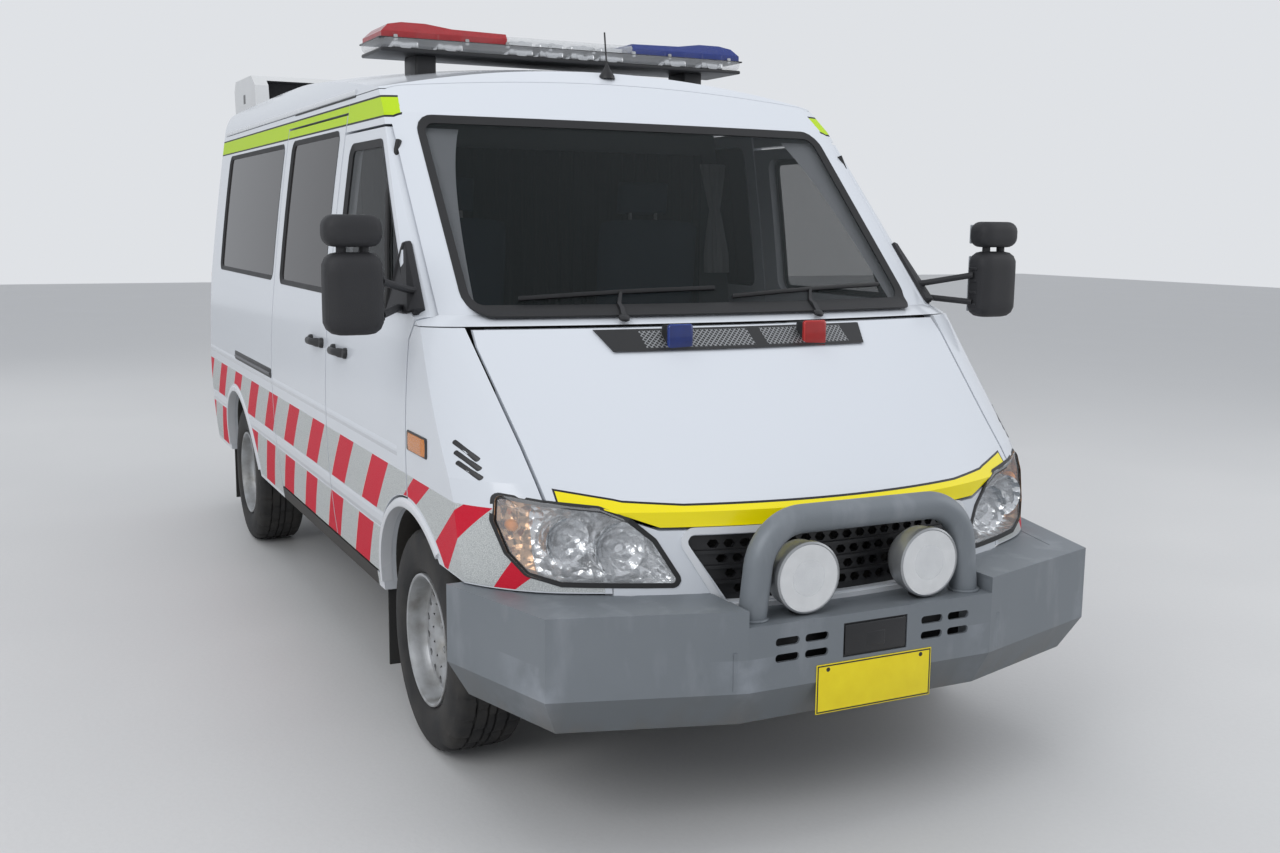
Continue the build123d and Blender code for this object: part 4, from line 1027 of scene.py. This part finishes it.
def rim_silver():
    finish = Finish("rim_silver")
    dust = finish.noise(14.0, 6.0)
    fine = finish.noise(240.0, 3.0)
    colour = finish.mix(finish.ramp(dust, 0.42, 0.72), (0.44, 0.45, 0.46), (0.24, 0.235, 0.22))
    return finish.shade(Base_Color=colour, Metallic=0.55, Roughness=0.36 + dust * 0.2,
                        Normal=finish.bump(fine, 0.0003))


rubber = tyre_rubber()
silver_steel = rim_silver()
TYRE_ROWS = [
    # radius, distance out from the wheel's middle
    (0.203, 0.092), (0.212, 0.100), (0.222, 0.1075), (0.236, 0.1105), (0.240, 0.1122), (0.266, 0.1123),
    (0.292, 0.1112), (0.296, 0.1093), (0.318, 0.1060), (0.331, 0.0985), (0.3375, 0.0900), (0.3395, 0.0800),
    (0.3408, 0.0560), (0.3330, 0.0545), (0.3330, 0.0490), (0.3412, 0.0475), (0.3415, 0.0170), (0.3335, 0.0155),
    (0.3335, 0.0105), (0.3415, 0.0090),
]
TREAD_STEPS = 144
RIM_STEPS = 96
RIM_VENTS = 16
VENT_STEPS = 24
RIM_ROWS = [
    # radius, distance out: the rolled lip, the barrel, the shoulder down to the disc
    (0.2030, 0.0915), (0.2050, 0.0985), (0.2035, 0.1045), (0.1985, 0.1060), (0.1945, 0.1030), (0.1925, 0.0960),
    (0.1900, 0.0880), (0.1875, 0.0700), (0.1855, 0.0560), (0.1810, 0.0470), (0.1740, 0.0430),
]
DISC_ROWS = [
    (0.1740, 0.0430), (0.1600, 0.0480), (0.1500, 0.0500), (0.1380, 0.0500), (0.1260, 0.0470), (0.1150, 0.0410),
]
HUB_ROWS = [
    (0.1150, 0.0410), (0.1020, 0.0300), (0.0960, 0.0180), (0.0940, 0.0130), (0.0720, 0.0120), (0.0640, 0.0150),
    (0.0360, 0.0160), (0.0345, 0.0300), (0.0300, 0.0340), (0.0010, 0.0350),
]
BACK_ROWS = [
    (0.2030, -0.0915), (0.2050, -0.0985), (0.1985, -0.1000), (0.1900, -0.0860), (0.1820, -0.0600),
    (0.1800, 0.0380), (0.1740, 0.0430),
]
BARREL_ROWS = [(0.203, 0.0915), (0.200, 0.06), (0.200, -0.06), (0.203, -0.0915)]
BOLT_ROWS = [(0.0125, 0.0), (0.0125, 0.010), (0.0105, 0.022), (0.0060, 0.024), (0.0010, 0.024)]
CAP_ROWS = [(0.036, 0.0165), (0.0350, 0.0310), (0.0300, 0.0355), (0.0010, 0.0365)]
WHEEL_Y = 0.815


def disc_height(radius):
    for (r0, h0), (r1, h1) in zip(DISC_ROWS, DISC_ROWS[1:]):
        if r1 <= radius <= r0:
            return h0 + (h1 - h0) * (r0 - radius) / (r0 - r1)
    return DISC_ROWS[-1][1]


for end, centre_a in (("front", 0.0), ("rear", WHEELBASE)):
    for side, name in SIDES:
        outwards = LEFTWARD * side
        centre = from_axle(centre_a, side * WHEEL_Y, AXLE_Z)
        body = f"wheel_{end}_{name}"

        def spot(radius, out, turn):
            return centre + Vector((cos(turn) * radius, side * out, sin(turn) * radius))

        tyre = Build()
        rows = TYRE_ROWS + [(radius, -out) for radius, out in reversed(TYRE_ROWS)]
        rings = []
        for radius, out in rows:
            ring = []
            for step in range(TREAD_STEPS):
                shift = step + (3 if abs(out) < 0.05 else 0) + (2 if out < 0 else 0)
                cut = radius > 0.330 and abs(out) > 0.008 and shift % 6 == 0
                ring.append(spot(radius - (0.007 if cut else 0.0), out, 2 * pi * step / TREAD_STEPS))
            rings.append(ring)
        tyre.loft(rings, capped=False)
        make(f"tyre_{end}_{name}_tread", tyre, body, rubber, (f"tyre_{end}_{name}",), 30)

        rim = Build()
        for rows in (RIM_ROWS, HUB_ROWS, BACK_ROWS, BARREL_ROWS):
            rings = []
            for radius, out in rows:
                rings.append([spot(radius, out, 2 * pi * step / RIM_STEPS) for step in range(RIM_STEPS)])
            rim.loft(rings, capped=False)
        for vent in range(RIM_VENTS):
            middle = 2 * pi * (vent + 0.5) / RIM_VENTS
            half = pi / RIM_VENTS
            outer, hole, throat = [], [], []
            for step in range(VENT_STEPS):
                turn = 2 * pi * (step + 0.5) / VENT_STEPS
                u, v = cos(turn), sin(turn)
                size = 1 / max(abs(u), abs(v))
                edge_r = 0.1445 + u * size * 0.0295
                outer.append(spot(edge_r, disc_height(edge_r), middle + v * size * half))
                hole_r = 0.1475 + u * 0.0135
                hole_turn = middle + v * 0.0105 / 0.1475 * 1.15
                hole.append(spot(hole_r, disc_height(hole_r), hole_turn))
                throat.append(spot(hole_r, disc_height(hole_r) - 0.012, hole_turn))
            rim.loft([outer, hole, throat], capped=False)
        for bolt in range(5):
            turn = 2 * pi * bolt / 5 + 0.3
            rim.turn(BOLT_ROWS, spot(0.065, 0.0135, turn), outwards, 6)
        make(f"rim_{end}_{name}_disc", rim, body, silver_steel, (f"rim_{end}_{name}",), 30)
        cap = Build().turn(CAP_ROWS, centre, outwards, 32)
        make(f"hub_cap_{end}_{name}", cap, body, chassis_black)


# Light bar: red and blue domes over a clear lower shell, with mirrored lamps inside, on a dark tray.
# The tray stands on two feet that are bolted to the roof.
DOME_SPLIT_Y = 0.2605


def dome_plastic():
    finish = Finish("dome_plastic")
    x, y, z = finish.axes()
    fine = finish.noise(30.0, 3.0)
    red, blue = y < -DOME_SPLIT_Y, y > DOME_SPLIT_Y
    colour = finish.mix(red, (0.72, 0.74, 0.75), finish.mix(fine, (0.30, 0.003, 0.008), (0.46, 0.008, 0.014)))
    colour = finish.mix(blue, colour, finish.mix(fine, (0.004, 0.020, 0.17), (0.008, 0.035, 0.26)))
    return finish.shade(Base_Color=colour, Roughness=0.06 + fine * 0.06, Alpha=0.30 + (red | blue) * 0.52,
                        Normal=finish.bump(finish.ribs("Y", 18.0), 0.0006))


dress("light_bar_lenses", dome_plastic())
LIGHT_FRONT_X = FRONT_AXLE_X - 1.000
LIGHT_MIDDLE_X = LIGHT_FRONT_X - 0.1425
LOWER_CORNER = 0.030
LAMP_MIRROR = [(0.001, -0.018), (0.016, -0.012), (0.030, 0.0)]
tray = Build()
tray.slab((LIGHT_FRONT_X - 0.282, -0.745, 2.212), (LIGHT_FRONT_X - 0.003, 0.745, 2.226), 0.006)
for side in (1, -1):
    y = side * 0.560
    tray.slab((LIGHT_FRONT_X - 0.215, y - 0.040, 2.110), (LIGHT_FRONT_X - 0.065, y + 0.040, 2.216), 0.010)
make("light_bar_tray", tray, "root", fitting_black, ("light_bar",))
lower = Build()
rings = []
for z, draw in ((2.226, 0.016), (2.236, 0.004), (2.258, 0.0), (2.2598, 0.002)):
    ring = []
    for cx, cy, quarter in ((1, 1, 0), (-1, 1, 1), (-1, -1, 2), (1, -1, 3)):
        for step in range(6):
            turn = (quarter + step / 5) * pi / 2
            reach = LOWER_CORNER - draw
            ring.append((LIGHT_MIDDLE_X + cx * 0.1125 + cos(turn) * reach, cy * 0.722 + sin(turn) * reach, z))
    rings.append(ring)
lower.loft(rings, capped=False)
make("light_bar_lower", lower, "root", clear)
lamps = Build()
for y in (-0.640, -0.470, -0.190, -0.065, 0.065, 0.190, 0.470, 0.640):
    tall = 2.292 if abs(y) > 0.3 else 2.284
    lamps.slab((LIGHT_FRONT_X - 0.110, y - 0.050, 2.228), (LIGHT_FRONT_X - 0.050, y + 0.050, tall), 0.008)
    lamps.turn(LAMP_MIRROR, (LIGHT_FRONT_X - 0.048, y, 2.256), FORWARD, 20)
make("light_bar_lamps", lamps, "root", spot_bowl)
pegs = Build()
for y in (-0.690, -0.420, -0.262, -0.090, 0.090, 0.262, 0.420, 0.690):
    pegs.slab((LIGHT_FRONT_X - 0.012, y - 0.007, 2.250), (LIGHT_FRONT_X - 0.002, y + 0.007, 2.272), 0.003)
make("light_bar_pegs", pegs, "root", silver_steel)
seam = Build()
seam.slab((LIGHT_FRONT_X - 0.2835, -0.7515, 2.2565), (LIGHT_FRONT_X - 0.0015, 0.7515, 2.2625), 0.0028)
black_part("light_bar_seam", seam)


# Roof: a white moulded pod with a dark intake, a whip aerial and gutter beads along both sides.
# The pod is glass fibre, sealed to the roof.
def pod_finish():
    finish = Finish("pod_finish")
    x, y, z = finish.axes()
    a = FRONT_AXLE_X - x
    film = finish.noise(4.0, 5.0)
    colour = finish.mix(film, (0.66, 0.67, 0.68), (0.56, 0.565, 0.56))
    mouth = (a < 3.5215) * (y.size() < 0.6955) * (z < 2.3185)
    colour = finish.mix(mouth, colour, (0.055, 0.055, 0.058))
    mark = a.within(3.60, 3.66) * z.within(2.215, 2.262) * (y.size() > 0.76)
    colour = finish.mix(mark, colour, (0.02, 0.02, 0.02))
    grain = finish.noise(180.0, 2.0)
    return finish.shade(Base_Color=colour, Roughness=0.30 + mouth * 0.4, Normal=finish.bump(grain, 0.0002))


dress("roof_pod", pod_finish())
AERIAL_FOOT = [(0.030, 0.0), (0.028, 0.010), (0.014, 0.030), (0.006, 0.048), (0.0035, 0.052)]
# Sections: out from the flank, up
BEAD_SECTION = [(-0.004, -0.011), (0.004, -0.009), (0.006, 0.0), (0.003, 0.009), (-0.008, 0.011)]
LINE_SECTION = [(-0.003, -0.004), (0.0022, -0.003), (0.0022, 0.003), (-0.003, 0.004)]
whip = Build().turn(AERIAL_FOOT, from_axle(0.690, 0, 2.125), UPWARD, 24)
whip.tube([from_axle(0.690, 0, 2.165), from_axle(0.702, 0, 2.230), from_axle(0.712, 0, 2.290)], 0.0032, 8)
black_part("aerial_whip", whip, "root", ("aerial",))
for side, name in SIDES:
    place = on_side(side)
    bead_track = [(0.95 + (3.70 - 0.95) * step / 40, 2.056) for step in range(41)]
    bead = strip(Build(), place, bead_track, BEAD_SECTION, LEFTWARD * side)
    make(f"gutter_bead_{name}", bead, "root", lip_white)
    line_track = [(0.95 + (1.95 - 0.95) * step / 30, 2.041) for step in range(31)]
    line = strip(Build(), place, line_track, LINE_SECTION, LEFTWARD * side)
    make(f"gutter_line_{name}", line, "root", seal_rubber)


# Small lamps: ribbed amber indicators on the wings, a blue and a red lamp on the bonnet, and tail lamps.
# Each lens is screwed to a dark base.
def ribbed_lens(name, first, second):
    finish = Finish(name)
    fine = finish.noise(40.0, 3.0)
    ribs = finish.ribs("X", 40.0)
    colour = finish.mix(ribs * 0.6 + fine * 0.3, first, second)
    return finish.shade(Base_Color=colour, Roughness=0.10 + fine * 0.08, Normal=finish.bump(ribs, 0.0014),
                        Coat_Weight=0.5)


amber = ribbed_lens("amber_lens", (0.50, 0.13, 0.006), (0.85, 0.30, 0.02))
red_lens = ribbed_lens("red_lamp", (0.28, 0.004, 0.004), (0.62, 0.02, 0.015))
blue_lens = ribbed_lens("blue_lamp", (0.003, 0.012, 0.10), (0.010, 0.05, 0.32))
LENS_STEPS = 12
for side, name in SIDES:
    place = on_side(side)
    base = plate(Build(), rounded(oblong(-0.209, 0.940, -0.015, 1.000), 0.008), place, 0.004)
    black_part(f"indicator_base_{name}", base, "root", ("side_lamps",) if side == 1 else ())
    out = LEFTWARD * side
    rings = []
    for step in range(LENS_STEPS + 1):
        way = step / LENS_STEPS
        a = -0.204 + 0.184 * way
        bulge = 0.0095 * min(1.0, 5 * way + 0.25, 5 * (1 - way) + 0.25)
        low, _ = place(a, 0.945)
        high, _ = place(a, 0.995)
        rings.append([low - out * 0.002, low + out * bulge * 0.8, low.lerp(high, 0.3) + out * bulge,
                      low.lerp(high, 0.7) + out * bulge, high + out * bulge * 0.8, high - out * 0.002])
    make(f"indicator_lens_{name}", Build().loft(rings), "root", amber)


def tail_plastic():
    finish = Finish("tail_plastic")
    x, y, z = finish.axes()
    fine = finish.noise(40.0, 3.0)
    ribs = finish.ribs("Z", 24.0)
    colour = finish.mix(z > 1.215, (0.42, 0.008, 0.008), (0.70, 0.22, 0.01))
    colour = finish.mix(z.within(0.995, 1.075), colour, (0.66, 0.66, 0.66))
    bars = z.within(1.211, 1.219) | z.within(0.991, 0.999) | z.within(1.071, 1.079)
    colour = finish.mix(bars, finish.mix(fine * 0.3, colour, (0.1, 0.02, 0.02)), (0.02, 0.02, 0.02))
    return finish.shade(Base_Color=colour, Roughness=0.14 + fine * 0.08, Normal=finish.bump(ribs, 0.001),
                        Coat_Weight=0.4)


dress("tail_lamps", tail_plastic())
front_x = FRONT_AXLE_X + 0.335
for y, name, lens in ((-0.225, "blue", blue_lens), (0.250, "red", red_lens)):
    housing = Build()
    housing.slab((front_x - 0.058, y - 0.040, 1.226), (front_x - 0.012, y + 0.040, 1.312), 0.008)
    black_part(f"bonnet_lamp_base_{name}", housing, "bonnet", ("bonnet_lamps",) if name == "blue" else ())
    face = Build().slab((front_x - 0.022, y - 0.042, 1.224), (front_x - 0.001, y + 0.042, 1.316), 0.010)
    make(f"bonnet_lamp_{name}", face, "bonnet", lens)


# Cowl vent: a black moulding across the back of the bonnet with a silver diamond mesh in two openings.
# It is clipped into the bonnet.
MESH_PITCH = 0.016
WIRE_WIDE = 0.0045


def vent_mesh():
    finish = Finish("vent_mesh")
    x, y, z = finish.axes()
    first = (y + z * 1.6) % MESH_PITCH
    second = (y - z * 1.6) % MESH_PITCH
    wire = (first < WIRE_WIDE) | (second < WIRE_WIDE)
    opening = y.within(-0.335, 0.030) | y.within(0.075, 0.385)
    inside = opening * z.within(1.2480, 1.2930)
    fine = finish.noise(60.0, 3.0)
    colour = finish.mix(inside * wire, (0.012, 0.012, 0.013), (0.42, 0.43, 0.44))
    colour = finish.mix(fine * 0.2, colour, (0.03, 0.03, 0.03))
    return finish.shade(Base_Color=colour, Metallic=inside * wire * 0.7, Roughness=0.38 + fine * 0.1,
                        Normal=finish.bump(inside * wire, 0.002))


dress("bonnet_vent", vent_mesh())
grille_black = plain_finish("grille_black", (0.010, 0.010, 0.011), (0.020, 0.020, 0.022), 0.34, 10.0, 0.0002)
dress("grille", grille_black)


# Wipers: black sprung arms with a rubber blade each, on spindles under the screen.
# The blades lie on the glass.
WIPERS = [
    # the blade's two ends and the arm's pivot, as (across, up)
    ((-0.640, 1.378), (0.010, 1.404), (-0.360, 1.326)),
    ((0.060, 1.378), (0.700, 1.404), (0.330, 1.326)),
]
# Out from the glass, up
BLADE_SECTION = [(0.0005, 0.003), (0.0005, -0.003), (0.0095, -0.006), (0.0115, 0.0), (0.0095, 0.006)]
BLADE_STEPS = 14
ARM_STEPS = 8
PIVOT_ROWS = [(0.017, 0.0), (0.017, 0.008), (0.011, 0.012), (0.001, 0.0125)]
wiper_pieces = Build()
for inner, outer, pivot in WIPERS:
    track = []
    for step in range(BLADE_STEPS + 1):
        way = step / BLADE_STEPS
        bow = 0.004 * sin(pi * way)
        track.append((inner[0] + (outer[0] - inner[0]) * way, inner[1] + (outer[1] - inner[1]) * way + bow))
    strip(wiper_pieces, on_front, track, BLADE_SECTION)
    hold = ((inner[0] + outer[0]) / 2, (inner[1] + outer[1]) / 2 + 0.006)
    arm = []
    for step in range(ARM_STEPS + 1):
        way = step / ARM_STEPS
        spot, normal = on_front(pivot[0] + (hold[0] - pivot[0]) * way, pivot[1] + (hold[1] - pivot[1]) * way)
        thick = 0.010 - 0.004 * way
        section = ((0.003, thick), (0.003, -thick), (0.0105, -thick * 0.8), (0.0105, thick * 0.8))
        arm.append([spot + normal * out + LEFTWARD * wide for out, wide in section])
    wiper_pieces.loft(arm)
    wiper_pieces.turn(PIVOT_ROWS, *on_front(*pivot), 20)
black_part("wiper_arms", wiper_pieces, "root", ("wipers",))


# Cab: padded seats with head restraints, a steering wheel and a moulded dashboard.
# The seats are cloth over foam on a steel box.
def seat_cloth():
    finish = Finish("seat_cloth")
    weave = finish.cells(420.0)
    blotch = finish.noise(5.0, 5.0)
    colour = finish.mix(blotch, (0.035, 0.050, 0.075), (0.060, 0.080, 0.110))
    return finish.shade(Base_Color=colour, Roughness=0.9, Normal=finish.bump(weave, 0.0008))


cloth = seat_cloth()
seat_steel = plain_finish("seat_steel", (0.05, 0.05, 0.055), (0.09, 0.09, 0.095), 0.5)
PAD_ACROSS = 22
PAD_ALONG = 26


def cushion(build, outline, thickness, place, crown, channels):
    """A crowned pad: an outline of (across, along), its thickness, and seams at shares of its length."""
    def level(u, v):
        dome = (1 - abs(u) ** 3.2) * (1 - abs(v) ** 3.2)
        seams = sum(max(0.0, 1 - abs(v - channel) / 0.045) for channel in channels)
        seams += max(0.0, 1 - abs(abs(u) - 0.62) / 0.06)
        return thickness / 2 + crown * dome - 0.007 * min(1.0, seams)

    width, length = outline
    for way in (1, -1):
        rings = []
        for row in range(PAD_ALONG + 1):
            v = -1 + 2 * row / PAD_ALONG
            pull = 1 - 0.035 * (1 - abs(v) ** 2) if abs(v) < 0.98 else 0.97
            ring = []
            for column in range(PAD_ACROSS + 1):
                u = -1 + 2 * column / PAD_ACROSS
                edge = max(abs(u), abs(v)) ** 12
                height = level(u, v) * (1 - edge) if way > 0 else -thickness / 2 * (1 - edge)
                squeeze = 1 - 0.05 * abs(u * v) ** 3
                ring.append(place @ Vector((u * width / 2 * pull * squeeze, v * length / 2 * squeeze, height)))
            rings.append(ring)
        build.loft(rings, closed=False, capped=False)
    return build


PADS = [
    # name, distance behind the axle and height of its middle, lean and spin in degrees,
    # width and length, thickness, crown, seams as shares of its half length
    ("seat_cushion", 0.985, 0.945, 3, 0, (0.480, 0.440), 0.105, 0.018, (-0.45, 0.45)),
    ("seat_back", 1.222, 1.325, -84, 180, (0.470, 0.600), 0.080, 0.016, (-0.5, 0.0, 0.5)),
    ("head_restraint", 1.258, 1.712, -84, 0, (0.240, 0.135), 0.050, 0.010, ()),
]
SEAT_Y = 0.430


def turned_by(degrees, axis):
    return Matrix.Rotation(radians(degrees), 4, axis)


for y, name in ((-SEAT_Y, "driver"), (SEAT_Y, "passenger")):
    for title, a, z, lean, spin, outline, thickness, crown, seams in PADS:
        place = Matrix.Translation(from_axle(a, y, z)) @ turned_by(90, "Z")
        place = place @ turned_by(lean, "X") @ turned_by(spin, "Z")
        stands_for = ("seats",) if name == "driver" and title == "seat_cushion" else ()
        padding = cushion(Build(), outline, thickness, place, crown, seams)
        pad = make(f"{title}_{name}", padding, "root", cloth, stands_for, 60)
    posts = Build()
    for shift in (-0.060, 0.060):
        posts.tube([from_axle(1.250, y + shift, 1.590), from_axle(1.254, y + shift, 1.690)], 0.008)
    make(f"head_restraint_posts_{name}", posts, "root", silver_steel)
    stand = Build().slab(from_axle(1.200, y - 0.200, 0.641), from_axle(0.820, y + 0.200, 0.885), 0.015)
    make(f"seat_frame_{name}", stand, "root", seat_steel)

STEERING_R = 0.185
STEERING_STEPS = 48
HUB_PROFILE = [(0.040, -0.030), (0.058, -0.010), (0.060, 0.006), (0.050, 0.014), (0.001, 0.018)]
COLUMN_PROFILE = [(0.022, -0.270), (0.022, -0.020)]
tilt = Matrix.Translation(from_axle(0.520, -SEAT_Y, 1.190)) @ turned_by(-38, "Y")
middle, column = tilt.translation, tilt.to_3x3() @ UPWARD
turns = [2 * pi * step / STEERING_STEPS for step in range(STEERING_STEPS + 1)]
rim_path = [tilt @ Vector((cos(turn) * STEERING_R, sin(turn) * STEERING_R, 0)) for turn in turns]
wheel = Build().tube(rim_path, 0.0135, 12)
wheel.turn(HUB_PROFILE, middle, column, 28)
for turn in (90, 210, 330):
    wheel.slab((0.040, -0.016, -0.014), (0.182, 0.016, -0.002), 0.005, tilt @ turned_by(turn, "Z"))
wheel.turn(COLUMN_PROFILE, middle, column, 16)
black_part("steering_rim", wheel, "steering_wheel", ("steering_wheel",))

dash_grey = plain_finish("dash_grey", (0.050, 0.053, 0.058), (0.075, 0.078, 0.085), 0.6, 6.0, 0.0006, 380.0)
dress("dashboard", dash_grey)
dress("partition", plain_finish("partition_grey", (0.16, 0.17, 0.18), (0.22, 0.23, 0.24), 0.6, 4.0))


# Curtains: a dark pleated one hangs behind the seats, and a pale one is tied back beside the passenger.
# Both hang from a rail under the roof.
def drape(build, across_count, down_count, spot):
    """A cloth through the places that spot gives; it says how wide the cloth is when pulled flat."""
    shares = [column / across_count for column in range(across_count + 1)]
    rows = [[Vector(spot(share, row / down_count)) for share in shares] for row in range(down_count + 1)]
    build.loft(rows, closed=False, capped=False)
    return sum((b - a).length for a, b in zip(rows[0], rows[0][1:]))


def curtain_cloth(name, first, second):
    finish = Finish(name)
    weave = finish.noise(500.0, 2.0)
    blotch = finish.noise(6.0, 4.0)
    colour = finish.mix(blotch, first, second)
    return finish.shade(Base_Color=colour, Roughness=0.9, Normal=finish.bump(weave, 0.0004))


PLEAT = 0.056


def pleated(across, down):
    y = -0.740 + 1.480 * across
    pleat = sin(2 * pi * y / PLEAT + 0.5 * sin(9 * y)) * 0.0115
    return FRONT_AXLE_X - 1.322 + pleat, y + 0.003 * sin(down * 4 + y * 20), 1.900 - 0.700 * down


rear_curtain = Build()
width = drape(rear_curtain, 320, 16, pleated)
dark_cloth = curtain_cloth("dark_curtain", (0.030, 0.032, 0.034), (0.055, 0.056, 0.058))
curtain = make("rear_curtain", rear_curtain, "root", dark_cloth, (), 80)


def tied(across, down):
    turn = 2 * pi * across
    spread = 0.020 + 0.030 * min(1.0, abs(down - 0.42) / 0.42) ** 0.8
    reach = spread * (1 + 0.22 * sin(turn * 9))
    x = FRONT_AXLE_X - 1.255 + cos(turn) * 0.6 * reach
    return x, 0.765 + 0.030 * down + sin(turn) * reach, 1.860 - 0.460 * down


side_curtain = Build()
width = drape(side_curtain, 144, 24, tied)
pale_cloth = curtain_cloth("pale_curtain", (0.42, 0.43, 0.43), (0.52, 0.53, 0.53))
curtain = make("side_curtain", side_curtain, "root", pale_cloth, (), 80)


# On the dashboard: a hood over the dials before the driver, and a pale box before the passenger.
# Both are plastic mouldings, screwed down.
binnacle = Build().slab(from_axle(0.330, -0.590, 1.200), from_axle(0.120, -0.270, 1.315), 0.035)
make("binnacle", binnacle, "root", dash_grey)
box_grey = plain_finish("dash_box_grey", (0.36, 0.37, 0.37), (0.44, 0.45, 0.45), 0.5)
dash_box = Build().slab(from_axle(0.300, 0.330, 1.185), from_axle(0.120, 0.520, 1.300), 0.012)
make("dash_box", dash_box, "root", box_grey)


# Underside and tail: rubber mud flaps, a ribbed rear step, the exhaust, and what is on the rear doors.
# The step is sheet steel on brackets, the exhaust hangs on straps, and the hinge plates are bolted on.
flap_rubber = plain_finish("flap_rubber", (0.018, 0.018, 0.019), (0.034, 0.033, 0.031), 0.75, 6.0, 0.0008, 120.0)
exhaust_steel = plain_finish("exhaust_steel", (0.16, 0.15, 0.14), (0.26, 0.25, 0.235), 0.5, 9.0, 0.0005,
                             Metallic=0.6)
dress("mud_flaps", flap_rubber)
dress("exhaust", exhaust_steel)
TREAD_FROM_Z = 0.5235


def step_steel():
    finish = Finish("step_steel")
    x, y, z = finish.axes()
    ribs = finish.ribs("Y", 12.0)
    scuff = finish.noise(7.0, 5.0)
    tread = z > TREAD_FROM_Z
    colour = finish.mix(scuff, (0.030, 0.030, 0.032), (0.060, 0.058, 0.055))
    return finish.shade(Base_Color=finish.mix(tread * 0.6, colour, (0.018, 0.018, 0.018)), Roughness=0.6,
                        Normal=finish.bump(ribs * tread, 0.004))


dress("rear_step", step_steel())


def on_tail(build, y, z, low, high, radius):
    """A block on the tail, between two corners that are measured from the skin."""
    spot, normal = on_rear(y, z)
    return build.slab(spot + Vector(low), spot + Vector(high), radius)


rear_handle = on_tail(Build(), -0.060, 1.160, (-0.026, -0.075, -0.018), (0.004, 0.020, 0.018), 0.008)
black_part("rear_door_handle", rear_handle, "door_rear_right")
lock_cover = on_tail(Build(), 0.060, 1.160, (-0.010, -0.020, -0.030), (0.004, 0.045, 0.030), 0.004)
black_part("rear_lock_cover", lock_cover, "door_rear_left")
for side, name in SIDES:
    hinges = Build()
    for y, z in ((0.775, 0.720), (0.775, 1.250), (0.715, 1.860)):
        on_tail(hinges, side * y, z, (-0.008, -0.014, -0.045), (0.006, 0.014, 0.045), 0.004)
    make(f"rear_hinge_plates_{name}", hinges, f"door_rear_{name}", lip_white)
